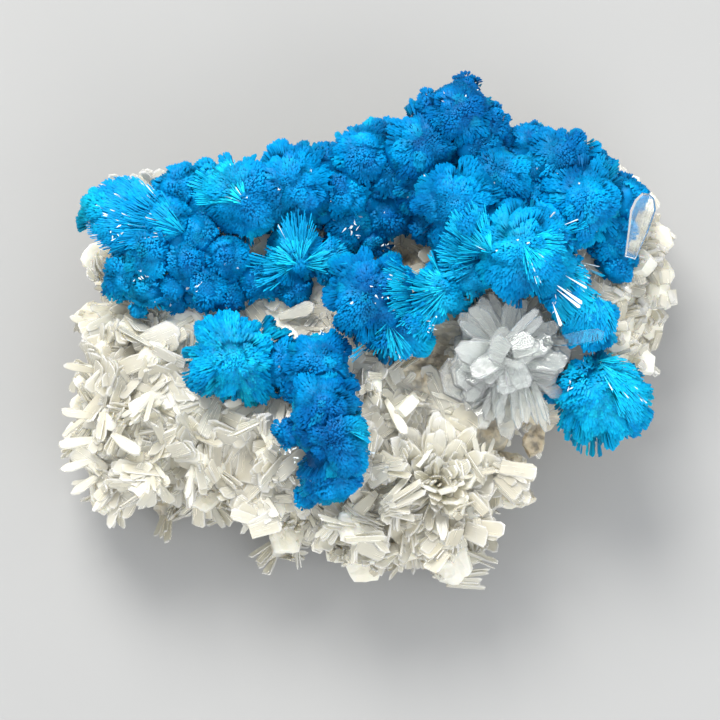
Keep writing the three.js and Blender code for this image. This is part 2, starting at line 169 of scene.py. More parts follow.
# In an open rosette: all over it, by its streaks, by single fibres.
OPEN_TURQUOISE, STREAK_TURQUOISE, FIBRE_TURQUOISE = 0.1, 0.2, 0.4
STREAKS, COMB_STREAKS = (7, 13, 23), (9, 23, 41)  # how often each wave of streaks comes round
COMB_CONTRAST = (0.05, 0.22)  # of a comb's streaks where it is blue, and what its turquoise adds
COMB_SPECKLE, COMB_WAVE_TONE = 0.5, 0.06  # single fibres against the streaks, and the streaks in tone
COMB_MOST = 1.1  # the most turquoise in a comb
GLINT_STREAK, GLINT_MORE = 0.5, 2  # painted glints: streaks over the first add the second times as many white fibres
RIM = (-0.1, 0.45)  # height of the rim round a rosette and half its width, as shares of the radius
RIM_GLOW_TURQUOISE, RIM_BLUE = 0.3, 0.5  # turquoise of tufts on it, a painted glow of light through thin edges, and the share of them without
LOOSE_TURQUOISE, LOOSE_BLUE = 0.18, 0.93  # the same for tufts anywhere
PLACE_SHARES = (0.6, 1.4)  # how strongly the tufts follow TURQUOISE_PLACES

# Rosettes. Where nothing else is said, sizes are shares of the rosette's radius.
DOME_FROM = 3.2  # rosettes of this many millimetres or more are flattened, with radiating fibres
DOME_FLATTENING = 0.86
DOME_HUB, HUB_SHARE = (0, 0, 0.4), 0.8  # the point they radiate from, given as for the open ones
LOBES, LOBE_GROWTH = 6, 0.9  # how many for a radius of one millimetre, and how they grow with it
LEAST_LOBES, LEAST_TUFTS = 12, 20
TUFT_BLADES = 22  # blades that end together in one tuft
LOBE_JITTER, TUFT_JITTER, BLADE_JITTER = 0.65, 0.35, 0.3  # how far they stray from even spacing
LOBE_SCATTER, TUFT_SCATTER = 0.11, 0.05  # how much they differ in reach
BLADE_SCATTER, OPEN_SCATTER = 0.008, 0.014  # the same for blades, of closed and of open rosettes
LOBE_REACH, MOST_REACH = 1.02, 1.16  # of lobes on the whole, and of any blade
LOBE_DEPTH, TUFT_DEPTH = 0.22, 0.085  # how far their borders draw back
OPEN_DEPTH = 0.8  # the share of LOBE_DEPTH in an open rosette
LOBE_TILT = 0.08  # how much a lobe's one side stands further out than its other
LOBE_ROUNDING, TUFT_ROUNDING = 0.7, 0.35  # how much rounder than the whole rosette they are lit
BORDER_SHARE = 1.3  # past this share of the way to their border they draw back no further
CORE_SHARE = 0.78  # reach of the body under the blades
CORE_SOFTNESS = 1.6  # the lower, the more the body evens out its lobes
FINE_CORE = 2.5  # bodies over this radius, in millimetres, have finer triangles
LEAST_OVER_CORE = 1.08  # how far even the lowest blades stand over the body
NEIGHBOURS = 1.6  # rosettes up to this far apart, as a share of both radii, shape each other
MELT = 8.0  # the lower, the more neighbouring rosettes run together
MELT_STEPS, MELT_PACE = 4, 0.7  # rounds towards that, and how much of each step is made
MOST_GROWTH = 1.16  # how much longer it may make a blade
OWN_SLACK = 0.05  # how far a rosette's blades may stand in its neighbour's part
CREASE = (0.62, 1.1)  # neighbours this far apart, as shares of both radii, get a ball between them
CREASE_SIZE, CREASE_DROP = 0.72, 0.3  # its radius and how much lower it is, by the smaller neighbour's
CREASE_ROOM = 0.75  # it keeps this share of their radii from all middles

# Blades and fibres, in millimetres.
BLADE_PATCH, HIDDEN_PATCH = 0.065, 0.25  # square millimetres to a blade, and on the underside
UNDERSIDE = -0.15  # height from which it is the underside, as a share of the radius
BLADE_WIDTH, BLADE_THICK = (0.24, 0.42), (0.18, 0.3)
BLADE_POINT, POINT_SHARE = 0.2, 0.4  # length of its point, and that as a share of the blade at most
# High, near and far: its three-sided shoulder has its corners at (1, 0), (-near, high) and (-far, -high),
# as shares of half its width and of half its thickness.
BLADE_SECTION = (1.3, 0.3, 0.7)
BLADE_SKEW, SHOULDER_TILT = 0.7, 0.12  # how far its tip lies off its axis, and how askew its shoulder is
BLADE_FROM = 0.72  # where it starts, as a share of the way from the point it radiates from
FACE_SHARE = 0.35  # how much of a blade's own faces there is in the velvet's light
PATCH_LENGTH, PATCH_WIDTH, PATCH_THICK = (0.3, 0.8), (0.1, 0.24), (0.08, 0.16)
PATCH_SPREAD, PATCH_FLAT = 0.6, (1, 1, 0.3)  # of a patch's crystals: by its radius, and each way
PATCH_UP, PATCH_FACES = (0, 0, 0.4), 0.5  # how much they point up, and how far their faces turn
COMB_DENSITY = 24  # fibres of a broken rosette for each square millimetre and radian
COMB_LENGTH, COMB_WIDTH, COMB_THICK = (1.0, 2.6), (0.09, 0.18), (0.07, 0.14)
COMB_START = 0.92  # how far out, as a share of the comb's reach, the last fibres start
COMB_RAGGED = (0.25, 0.1)  # how far short of it fibres end, at its sides and anywhere
COMB_STRAY = 2.5  # degrees
COMB_STEEPEST = 1.2  # where the surface is steeper there are no fibres
COMB_ROOT, COMB_SINK = 0.3, 0.15  # depth of the roots, and how far the tips may sink in
COMB_RISE, BLUE_RISE = 0.1, 0.4  # they stand out by up to the first times the second plus turquoise
COMB_HUB, HUB_TURQUOISE = 1.6, 0.4  # near the point it radiates from a comb is more turquoise

# ---------------------------------------------------------------- stilbite: sheaves and blades

# How the rock's sheaves grow, by place: the spacing, how steeply they leave the rock, how far their
# broad faces turn from the rock's, the plates in a sheaf, then the lowest and highest length, width
# and thickness of a plate.
Style = namedtuple("Style", "gap lift turn count length width thick")
STYLES = {
    "field": Style(1.05, (-0.04, 0.2), 0.14, 6, (2.6, 6.0), (0.8, 2.8), (0.12, 0.24)),
    "fringe": Style(1.35, (0.7, 2.0), 0.6, 5, (3.0, 5.4), (0.7, 1.8), (0.14, 0.3)),
    "stubby": Style(1.4, (0.3, 1.4), 0.6, 3, (1.8, 3.4), (1.2, 2.2), (0.4, 0.9)),
    "wall": Style(1.4, (0.2, 1.1), 0.5, 4, (2.2, 4.2), (0.8, 1.9), (0.16, 0.32)),
    "bare": Style(3.4, (0.2, 0.8), 0.4, 3, (1.6, 3.0), (0.6, 1.4), (0.16, 0.34)),
}
FIELD_SLOPE, FIELD_HEIGHT = 0.35, 13  # the field faces up at least so much and lies above this height
FRINGE_X, FRINGE_Y = -22, -13  # the fringe is the wall west and south of these
STUBBY_X = 25.5  # the stubby plates are east of this
# Brown-grey rock that few blades cover: x, y, z of the middle and the radius.
BARE_PLACES = [(7, -4, 17, 4.6), (13.5, -10, 15, 4), (17.5, -13, 9, 6.5), (3, 6.5, 15, 3.8)]
SAMPLES, CELL = 42000, 2.0  # places tried for sheaves, and the size of the cells they are sorted into
LOWEST_ROOT, LOWEST_END = 0.9, 0.5  # heights below which there is no root or end of a sheaf
DOWNWARD, DOWN_HEIGHT = -0.8, 3  # nor a root on a face that looks down this much below this height
BALL_CLEAR = (0.93, 1.02)  # roots and outer halves keep out of this much of a rosette's radius
OUTER_HALF = (0.5, 0.75, 1.0)  # where along a sheaf that is tried
SPLIT_X = -4.0  # the rock's blades are two pieces, west and east of this
BOX_MARGIN = 0.5  # how far they may reach past the solids' box
ROOT_DEPTH, ROOT_SHARE = 0.7, 0.15  # how deep they start, and how much of their length behind the root
ROOT_LEVEL, ROOT_LIFT = 0.25, 0.5  # the share of that depth for level ones, and what their lift adds
STEEP_SLOPE, STEEP_UP = 0.5, (0, 0, 0.8)  # on steeper faces their broad sides turn up by this
EDGE_SHARE = 0.05  # sheaves that stand on edge
BUNDLE_SIZE, BUNDLE_STRAY = 6.0, 0.45  # neighbours about this far apart lie the same way, with a stray
BUNDLE_TURN = 3 * math.pi  # how far that way turns from place to place
STACK_STEP = 0.85  # distance from plate to plate in a sheaf, as a share of their thickness
LEAF_STEP, FAN_STEP = 0.03, 0.05  # how they fan out from one to the next, upwards and sideways
SLIDE_STEP = 0.1  # how they slide sideways, as a share of their width
LEAF_STRAY, FAN_STRAY, SLIDE_STRAY, ROLL_STRAY = 0.06, 0.14, 0.06, 0.16
PLATE_LENGTHS, PLATE_WIDTHS, PLATE_THICKS = (0.55, 1.0), (0.5, 1.05), (0.7, 1.2)  # shares of the sheaf's
CURVE = 0.03  # how much plates bend, as a share of their length

# The rough rock under the blades. As a cream mass between them it rises over the CAD rock.
FIELD_RISE, FRINGE_RISE = 0.4, 0.3
RISE_SLOPES = (0.1, 0.5)  # upward normals between which the fringe's rise turns into the field's
RISE_HEIGHTS = (3, 7)  # heights between which the rise sets in
RISE_EDGE = 1.5  # how far from rosettes and bare places it is full
BURST_REACH, BURST_SINK = 8.6, 0.35  # this near the burst's middle the rock draws back into its stacks
WELD = 0.002  # corners of the solid closer than this are one
CUTS = (2.4, 1.3, 0.95)  # longest edge left by each round of cutting
BASE_SLOPE, BASE_HEIGHT = -0.999, 0.02  # faces of this normal or less, and points as low, are the base
ROCK_NOISE, ROCK_CHIPS, ROCK_GRAINS = (0.28, 0.9), (0.5, 0.42), (0.5, 1.2)  # strength, scale per mm
CHIP_LEVEL, GRAIN_LEVEL = 0.35, 0.4  # distances in their patterns that count as level
LOW_BUMPS = (0.8, 4)  # how much stronger bumps are at the base, and the height where that ends
RISE_CALM = 0.55  # how much weaker they are where the mass rises fully
BASE_HOLLOWS = 0.8  # how strong they are in the base
BARE_EDGE, BARE_FADE = 1.15, 1.5  # reach of a bare place's brown, by its radius, and how fast it sets in
LOW_STONE, LOW_FADE = 1.6, 3  # grey stone at the foot: its strength, and the height that takes off one

# Radial sheaves: compass angle, rise, length, width, plates in the stack, curve.
BURST_MIDDLE = (7, -17, 15.2)
BURST_SPOKES = [
    (170, 16, 6.8, 4.6, 7, 0.2), (190, 10, 7.2, 4.4, 7, 0.24), (210, 6, 6.6, 3.4, 6, 0.18),
    (228, 2, 6.2, 2.4, 4, 0.05), (148, 26, 6.6, 3.2, 6, 0.12), (126, 32, 7.2, 3.0, 6, 0.1),
    (104, 30, 8.0, 3.2, 7, 0.14), (84, 28, 8.2, 3.0, 7, 0.14), (64, 32, 7.0, 2.6, 5, 0.08),
    (42, 28, 6.8, 2.8, 4, 0.05), (22, 22, 7.2, 3.6, 4, 0.04), (0, 16, 7.8, 4.6, 4, 0.05),
    (-18, 13, 7.4, 4.4, 4, 0.05), (-36, 10, 7.0, 3.4, 5, 0.08), (-52, 4, 6.6, 2.2, 3, 0),
    (-72, 2, 6.8, 2.0, 3, 0), (-90, 6, 6.8, 1.8, 3, 0), (-108, 2, 6.4, 2.0, 3, 0),
    (-124, 4, 6.2, 1.8, 3, 0), (150, 56, 5.6, 1.8, 4, 0.05), (95, 58, 6.0, 1.6, 4, 0.05),
    (30, 56, 5.6, 1.8, 4, 0), (-30, 52, 5.4, 2.0, 3, 0), (-95, 50, 5.2, 1.6, 3, 0),
    (-150, 50, 5.4, 1.8, 4, 0.05), (60, 74, 5.8, 1.2, 3, 0), (-120, 76, 5.6, 1.2, 3, 0),
]
SHEAF_MIDDLE = (14.5, -4.8, 18.6)
SHEAF_SPOKES = [
    (184, 14, 7.0, 5.0, 4, 0.06), (204, 4, 6.8, 4.4, 4, 0.08), (226, -2, 5.8, 3.2, 3, 0.05),
    (160, 12, 7.4, 3.8, 3, 0.05), (138, 14, 8.4, 3.2, 3, 0.03), (116, 10, 8.2, 3.6, 3, 0.03),
    (94, 12, 8.2, 3.4, 3, 0.02), (74, 12, 7.8, 3.4, 3, 0.04), (50, 18, 8.6, 2.6, 3, 0.02),
    (28, 18, 7.4, 3.4, 3, 0.05), (4, 12, 7.2, 4.8, 4, 0.06), (-18, 6, 6.6, 3.6, 3, 0.05),
    (-42, 2, 6.6, 2.0, 2, 0), (-62, -4, 7.2, 1.9, 2, 0), (-84, -6, 8.4, 2.6, 2, 0),
    (-108, -4, 7.0, 2.1, 2, 0), (-130, 0, 6.6, 2.8, 3, 0),
]
# The sheaf's own big plates: foot, tip, width, thickness, plates in the stack.
SHEAF_PLATES = [
    ((13.7, -3.9, 20.6), (8.4, -5.4, 20.4), 4.2, 0.36, 4),
    ((13.8, -3.4, 22.2), (8.8, -3.7, 22.6), 3.0, 0.34, 3),
    ((13.6, -2.6, 21.0), (8.6, 0.9, 22.4), 2.4, 0.34, 3),
    ((13.9, -1.9, 21.6), (10.8, 2.6, 22.0), 3.0, 0.3, 3),
    ((14.4, -0.9, 20.6), (13.0, 3.6, 21.4), 1.5, 0.4, 2),
    ((14.6, -1.6, 21.4), (15.6, 2.9, 22.2), 2.4, 0.32, 3),
    ((14.2, -3.0, 23.4), (20.0, 1.6, 24.6), 1.7, 0.45, 2),
    ((15.4, -3.4, 21.4), (20.6, -1.0, 22.6), 2.6, 0.34, 3),
    ((15.6, -4.1, 21.6), (21.5, -4.0, 21.8), 3.6, 0.34, 3),
    ((15.2, -4.9, 21.0), (20.9, -6.8, 20.4), 3.0, 0.34, 3),
    ((12.9, -4.3, 24.0), (17.5, -6.7, 23.4), 1.6, 0.4, 2),
    ((14.5, -3.9, 24.0), (11.6, -2.4, 24.6), 3.2, 0.34, 3),
    ((14.4, -4.8, 23.6), (10.4, -6.5, 22.8), 3.0, 0.34, 3),
    ((15.0, -3.7, 23.6), (18.4, -3.0, 24.0), 3.0, 0.32, 3),
    ((14.9, -5.0, 23.2), (15.6, -8.5, 22.0), 3.2, 0.34, 3),
    ((12.0, -5.9, 20.2), (10.0, -9.3, 19.2), 2.2, 0.36, 3),
]
# The pointed ones on its south side, in the same way.
SHEAF_POINTS = [
    ((13.3, -6.3, 19.8), (12.7, -11.4, 18.6), 1.4, 0.45, 2),
    ((15.0, -6.8, 20.4), (14.7, -12.8, 19.0), 2.1, 0.45, 2),
    ((16.3, -6.8, 20.6), (17.5, -11.6, 19.6), 1.5, 0.4, 2),
    ((17.4, -6.6, 20.4), (19.6, -11.9, 18.8), 1.7, 0.4, 2),
    ((18.1, -6.2, 20.6), (20.8, -8.6, 19.4), 1.9, 0.36, 2),
]
# Short stacks that point all over a sheaf's upper half: about how many, their lowest and highest
# length and width.
BURST_CROWN = (22, (3.8, 5.6), (1.6, 3.2))
SHEAF_HEART = (40, (2.2, 3.4), (1.6, 2.8))
LOWEST_CROWN, CROWN_JITTER, CROWN_CURVE = 0.1, 0.3, 0.05  # their rise, uneven spacing and bend
CROWN_COUNTS = (2, 5)  # the fewest plates in one, and one more than the most
SPOKE_STRAY = 2.5  # degrees
SPOKE_START, CROWN_START = 0.4, 0.5  # how far from the middle they start
BURST_THICK, CROWN_THICK = (0.2, 0.36), (0.14, 0.26)
SHEAF_THICK, HEART_THICK = (0.26, 0.44), (0.3, 0.6)
# How far the plates' faces turn from facing up.
BURST_ROLL, SHEAF_ROLL, PLACED_ROLL, CROWN_ROLL, HEART_ROLL = 0.3, 0.35, 0.25, 0.6, 1.4
BURST_CLEAR, SHEAF_CLEAR = 6.0, 4.0  # this near the middles of the two no sheaf of the rock's starts
SHEAF_SHY = 4.6  # and none reaches this near the glassy one's
# Clear plates and plates set one by one: foot, tip, width, thickness.
OVERHANG_BLADE = ((18.4, -2.6, 22.6), (25.0, -2.2, 25.2), 1.7, 0.45)
CLEAR_BLADE = ((28.0, 6.6, 23.2), (29.7, 13.2, 25.8), 2.8, 0.75)
PLACED_CURVE = 0.02
# The ones that the photograph shows single and large.
PLACED_PLATES = [
    ((-25.0, 15.0, 16.6), (-29.4, 16.6, 19.4), 1.6, 0.4),
    ((-23.6, 15.6, 17.0), (-25.6, 17.2, 19.6), 0.9, 0.4),
    ((-26.4, -2.2, 18.4), (-21.2, -0.6, 19.6), 3.0, 0.35),
    ((-27.4, -10.6, 18.4), (-22.8, -8.4, 19.8), 0.8, 0.4),
    ((-28.6, -12.0, 18.0), (-25.4, -14.4, 19.4), 1.6, 0.5),
    ((-22.4, -14.0, 17.6), (-24.2, -9.6, 19.8), 1.4, 0.4),
    ((-29.0, -5.0, 17.4), (-25.0, -4.0, 19.6), 2.2, 0.35),
    ((-20.4, -11.6, 18.0), (-16.4, -13.6, 19.6), 1.3, 0.4),
    ((-13.6, -13.0, 17.6), (-11.2, -17.4, 18.8), 1.1, 0.4),
    ((-17.0, -8.6, 18.0), (-18.6, -12.6, 19.6), 2.2, 0.4),
    ((0.4, -18.2, 17.2), (-2.6, -21.6, 17.4), 1.8, 0.4),
    ((-10.4, 1.0, 18.4), (-6.4, 1.8, 20.2), 1.8, 0.4),
    ((-1.6, -7.6, 18.6), (1.6, -5.2, 20.6), 1.2, 0.35),
    ((1.4, -8.2, 18.6), (3.6, -12.4, 20.0), 1.3, 0.4),
    ((-30.6, -9.6, 15.0), (-34.6, -9.0, 15.6), 1.1, 0.4),
    ((-30.4, -12.0, 14.4), (-34.9, -12.8, 15.2), 1.3, 0.45),
    ((-30.2, -14.0, 13.8), (-34.7, -15.4, 14.0), 1.1, 0.4),
    ((-29.6, -15.4, 13.4), (-33.4, -18.0, 13.2), 1.2, 0.45),
    ((-28.0, -16.6, 13.4), (-31.0, -19.9, 13.4), 1.0, 0.4),
    ((-25.4, -17.2, 13.6), (-27.6, -20.8, 13.2), 1.2, 0.4),
    ((-30.8, -4.4, 14.6), (-34.3, -3.8, 15.4), 1.0, 0.4),
    ((-30.6, 0.4, 15.2), (-33.6, 1.4, 16.4), 1.0, 0.4),
]
STILBITE_SEED, CLEAR_SEED = 2000, 3000

# ---------------------------------------------------------------- numbers


def unit(vectors):
    return vectors / np.linalg.norm(vectors, axis=-1, keepdims=True)


def spread_directions(count, rng, jitter):
    """About even directions over the sphere, each nudged by a share of their spacing."""
    index = np.arange(count) + 0.5
    height = 1 - 2 * index / count
    flat = np.sqrt(1 - height**2)
    around = GOLDEN_ANGLE * index
    points = np.stack([flat * np.cos(around), flat * np.sin(around), height], axis=1)
    turn = np.linalg.qr(rng.normal(size=(3, 3)))[0]
    spacing = math.sqrt(4 * math.pi / count)
    return unit(points @ turn + rng.normal(0, jitter * spacing, points.shape))


def compass(azimuth, rise):
    """Unit vectors from compass angles, counted from +X towards +Y, and rises, in degrees."""
    azimuth, rise = np.radians(azimuth), np.radians(rise)
    return np.stack(
        [np.cos(azimuth) * np.cos(rise), np.sin(azimuth) * np.cos(rise), np.sin(rise)], axis=-1
    )


def cross_frame(axis, guide):
    """Two unit vectors across each axis, the second one as near to its guide as it can be."""
    side = unit(np.cross(guide, axis))
    return side, np.cross(axis, side)


def between(bounds, rng, count=None):
    return rng.uniform(bounds[0], bounds[1], count)


def ramp_up(values, low, high):
    """Nought up to the low value, one from the high value on."""
    return np.clip((values - low) / (high - low), 0, 1)


# ---------------------------------------------------------------- meshes


def linked_object(name, data):
    made = bpy.data.objects.new(name, data)
    bpy.context.scene.collection.objects.link(made)
    return made


def add_field(mesh, name, values):
    """A colour or a vector at each point of the mesh."""
    kind, slot_name = ("FLOAT_COLOR", "color") if values.shape[1] == 4 else ("FLOAT_VECTOR", "vector")
    attribute = mesh.attributes.new(name, kind, "POINT")
    attribute.data.foreach_set(slot_name, values.astype(np.float32).ravel())


def new_object(name, points, triangles, fields):
    """A mesh object in metres from points in the layout, with fields of colours or vectors.

    The field named "normal" is how the surface is lit. Without it the faces are lit flat.
    """
    fields = dict(fields)
    normals = fields.pop("normal", None)
    mesh = bpy.data.meshes.new(name)
    mesh.vertices.add(len(points))
    mesh.vertices.foreach_set("co", ((points + LAYOUT_SHIFT) * MM).astype(np.float32).ravel())
    mesh.loops.add(3 * len(triangles))
    mesh.loops.foreach_set("vertex_index", triangles.astype(np.int32).ravel())
    mesh.polygons.add(len(triangles))
    mesh.polygons.foreach_set("loop_start", np.arange(0, 3 * len(triangles), 3, dtype=np.int32))
    mesh.update(calc_edges=True)
    if normals is None:
        mesh.shade_flat()
    else:
        mesh.shade_smooth()
        mesh.normals_split_custom_set_from_vertices(normals)
    for field, values in fields.items():
        add_field(mesh, field, values)
    return linked_object(name, mesh)


def dress(piece, node, material):
    """Hands a finished piece to the frame: it rides on the body and stands for its node."""
    piece.data.materials.append(material)
    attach(piece, "root")
    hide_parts(node)


def joined(parts):
    """Several (points, triangles, fields) as one."""
    points, triangles, fields, start = [], [], {}, 0
    for part_points, part_triangles, part_fields in parts:
        points.append(part_points)
        triangles.append(part_triangles + start)
        start += len(part_points)
        for name, values in part_fields.items():
            fields.setdefault(name, []).append(values)
    return (
        np.concatenate(points),
        np.concatenate(triangles),
        {name: np.concatenate(values) for name, values in fields.items()},
    )


# ---------------------------------------------------------------- cavansite


def needles(roots, tips, widths, thicks, look, outward, rng):
    """Closed three-sided blades that widen from a point at the root to a shoulder and end in a point.

    They are lit as a velvety surface that faces `outward`, with a share of their own faces in it.
    """
    count = len(roots)
    reach = tips - roots
    length = np.linalg.norm(reach, axis=1, keepdims=True)
    axis = reach / length
    side, up = cross_frame(axis, rng.normal(size=(count, 3)))
    shoulder = tips - axis * np.minimum(BLADE_POINT, POINT_SHARE * length)
    half_side = side * widths[:, None] / 2
    half_up = up * thicks[:, None] / 2
    skew = half_side * between((-BLADE_SKEW, BLADE_SKEW), rng, (count, 1))
    skew += half_up * between((-BLADE_SKEW, BLADE_SKEW), rng, (count, 1))
    tilt = axis * between((-SHOULDER_TILT, SHOULDER_TILT), rng, (count, 1))
    high, near, far = BLADE_SECTION
    corners = np.stack(
        [
            roots, shoulder + half_side + tilt, shoulder + half_up * high - half_side * near,
            shoulder - half_side * far - half_up * high - tilt, tips + skew,
        ],
        axis=1,
    )
    faces = np.array([[1, 2, 4], [2, 3, 4], [3, 1, 4], [2, 1, 0], [3, 2, 0], [1, 3, 0]])
    triangles = (faces[None] + 5 * np.arange(count)[:, None, None]).reshape(-1, 3)
    looks = np.repeat(look[:, None, :], 5, axis=1)
    # Painted shade: blades darker towards their roots.
    looks[:, :, 2] *= np.array(BLADE_SHADES)
    own = np.stack([axis * 0, side, up * high - side * near, -side * far - up * high, axis * 0], axis=1)
    normals = unit(outward[:, None] + FACE_SHARE * own)
    return corners.reshape(-1, 3), triangles, {
        "look": looks.reshape(-1, 4), "normal": normals.reshape(-1, 3),
    }


def nearest(directions, centres):
    """For each direction, which centre is nearest and the share of the way to that one's border."""
    closeness = directions @ centres.T
    angle = np.arccos(np.clip(closeness.max(axis=1), -1, 1))
    return closeness.argmax(axis=1), np.minimum(angle * math.sqrt(len(centres)) / 2, BORDER_SHARE)


def at_places(places, points):
    """The sum, at each point, of changes that fade away from their places."""
    total = np.zeros(len(points))
    for x, y, radius, change in places:
        away = np.hypot(points[:, 0] - x, points[:, 1] - y) / radius
        total += change * np.exp(-(away**2))
    return total


class Rosette:
    """One rosette: a ball whose lobes differ in reach and whose sides melt into its neighbours."""

    def __init__(self, ball, is_open, others, rng):
        self.centre, self.radius = np.array(ball[:3], float), ball[3]
        self.is_open = is_open
        self.is_dome = self.radius >= DOME_FROM
        count = max(LEAST_LOBES, int(LOBES * self.radius**LOBE_GROWTH))
        self.lobes = spread_directions(count, rng, LOBE_JITTER)
        self.lobe_reach = LOBE_REACH + LOBE_SCATTER * rng.normal(size=count)
        self.lobe_tilt = LOBE_TILT * rng.normal(size=(count, 3))
        self.lobe_tone = LOBE_TONES * rng.normal(size=count)
        near = [
            other for other in others
            if other is not ball and math.dist(other[:3], ball[:3]) < NEIGHBOURS * (other[3] + ball[3])
        ]
        self.places = np.array([other[:3] for other in near], float).reshape(-1, 3)
        self.sizes = np.array([other[3] for other in near], float)

    def reach(self, directions):
        """The reach as a share of the radius, the lobe and the share of the way to its border."""
        lobe, share = nearest(directions, self.lobes)
        tilt = np.sum(self.lobe_tilt[lobe] * (directions - self.lobes[lobe]), axis=1)
        depth = LOBE_DEPTH * (OPEN_DEPTH if self.is_open else 1)
        return self.lobe_reach[lobe] + tilt * math.sqrt(len(self.lobes)) - depth * share**2, lobe, share

    def soft_reach(self, directions):
        """The reach of the body: the lobes' reaches run into one another."""
        weights = np.exp(CORE_SOFTNESS * len(self.lobes) * (directions @ self.lobes.T - 1))
        return (weights @ self.lobe_reach) / weights.sum(axis=1) - LOBE_DEPTH / 2

    def points(self, directions, reach):
        offsets = directions * (reach * self.radius)[:, None]
        if self.is_dome:
            offsets[:, 2] *= np.where(offsets[:, 2] > 0, DOME_FLATTENING, 1)
        return self.centre + offsets

    def grown(self, directions, reach):
        """Reach lengthened in the creases, up to where the rosettes' soft sum is that of one alone."""
        growth = np.ones(len(directions))
        if not len(self.sizes):
            return reach
        for _ in range(MELT_STEPS):
            points = self.points(directions, growth)
            own = np.exp(-MELT * (growth - 1))
            total = own + np.exp(-MELT * (self.shares(points) - 1)).sum(axis=1)
            growth = np.clip(growth + MELT_PACE * np.log(total) / MELT, 1, MOST_GROWTH)
        return reach * growth

    def shares(self, points):
        """Distances to the neighbours' middles, as shares of their radii."""
        return np.linalg.norm(points[:, None] - self.places[None], axis=2) / self.sizes

    def owns(self, points):
        """True for points that are hardly nearer to a neighbour than to this rosette."""
        own = np.linalg.norm(points - self.centre, axis=1) / self.radius
        if not len(self.sizes):
            return np.ones(len(points), bool)
        return self.shares(points).min(axis=1) > own - OWN_SLACK


def streak_waves(angle, turns, phases):
    """The sum of waves that come round that often."""
    return sum(np.sin(turn * angle + phase) for turn, phase in zip(turns, phases))


def rosette_blades(rosette, toward, turquoise, rng):
    """Roots, tips, sizes, looks and lit directions of a rosette's blades: tufts on its lobes."""
    radius, is_open = rosette.radius, rosette.is_open
    if rosette.is_dome and not is_open:
        toward = DOME_HUB
    directions = spread_directions(int(4 * math.pi * radius**2 / BLADE_PATCH), rng, BLADE_JITTER)
    keep = (directions[:, 2] > UNDERSIDE) | (rng.random(len(directions)) < BLADE_PATCH / HIDDEN_PATCH)
    directions = directions[keep]
    count = len(directions)
    tufts = spread_directions(max(LEAST_TUFTS, count // TUFT_BLADES), rng, TUFT_JITTER)
    tuft, tuft_share = nearest(directions, tufts)

    reach, lobe, lobe_share = rosette.reach(directions)
    reach = reach + TUFT_SCATTER * rng.normal(size=len(tufts))[tuft] - TUFT_DEPTH * tuft_share**2
    lowest = LEAST_OVER_CORE * CORE_SHARE * rosette.soft_reach(directions)
    scatter = OPEN_SCATTER if is_open else BLADE_SCATTER
    reach = np.maximum(reach, lowest) + scatter * rng.normal(size=count)
    reach = rosette.grown(directions, np.minimum(reach, MOST_REACH))
    tips = rosette.points(directions, reach)
    hub = rosette.centre + HUB_SHARE * radius * np.array(toward)
    roots = hub + (tips - hub) * BLADE_FROM

    rim = np.clip(1 - np.abs(directions[:, 2] - RIM[0]) / RIM[1], 0, 1)
    tuft_chance = rng.random(len(tufts))[tuft]
    angle = np.arctan2(directions[:, 1], directions[:, 0])
    streaks = streak_waves(angle, STREAKS, rng.uniform(0, 2 * math.pi, 3)) / 3
    look = np.empty((count, 4))
    # Painted glow: tufts round the rim turn turquoise as if light shone through their thin edges.
    look[:, 0] = turquoise + RIM_GLOW_TURQUOISE * rim * (tuft_chance > RIM_BLUE)
    look[:, 0] += LOOSE_TURQUOISE * (tuft_chance > LOOSE_BLUE)
    look[:, 0] += is_open * (STREAK_TURQUOISE * streaks + FIBRE_TURQUOISE * rng.random(count) ** 3)
    look[:, 1] = MIDDLE_TONE + rosette.lobe_tone[lobe] + TUFT_TONES * rng.normal(size=len(tufts))[tuft]
    look[:, 0] += at_places(TURQUOISE_PLACES, tips) * between(PLACE_SHARES, rng, len(tufts))[tuft]
    look[:, 1] += BLADE_TONES * rng.normal(size=count) + at_places(TONE_PLACES, tips)
    # Painted shade: darker towards the borders of lobes and tufts.
    look[:, 2] = 1 - LOBE_SHADE * lobe_share**2 - TUFT_SHADE * tuft_share**2
    # Painted glints: a few blades turn white.
    look[:, 3] = (rng.random(count) < GLINT_CHANCE) * GLINT_WHITENESS

    widths, thicks = between(BLADE_WIDTH, rng, count), between(BLADE_THICK, rng, count)
    outward = directions + LOBE_ROUNDING * (directions - rosette.lobes[lobe])
    outward = unit(outward + TUFT_ROUNDING * math.sqrt(len(tufts)) / 4 * (directions - tufts[tuft]))
    return roots, tips, widths, thicks, look, outward


def crust_heights(places, balls):
    """The height of the rosettes' surface over each x and y. Beside it there is none."""
    heights = np.full(len(places), np.nan)
    for x, y, z, radius in balls:
        inside = radius**2 - (places[:, 0] - x) ** 2 - (places[:, 1] - y) ** 2
        flat = DOME_FLATTENING if radius >= DOME_FROM else 1
        top = z + flat * np.sqrt(np.maximum(inside, 0))
        heights = np.fmax(heights, np.where(inside > 0, top, np.nan))
    return heights


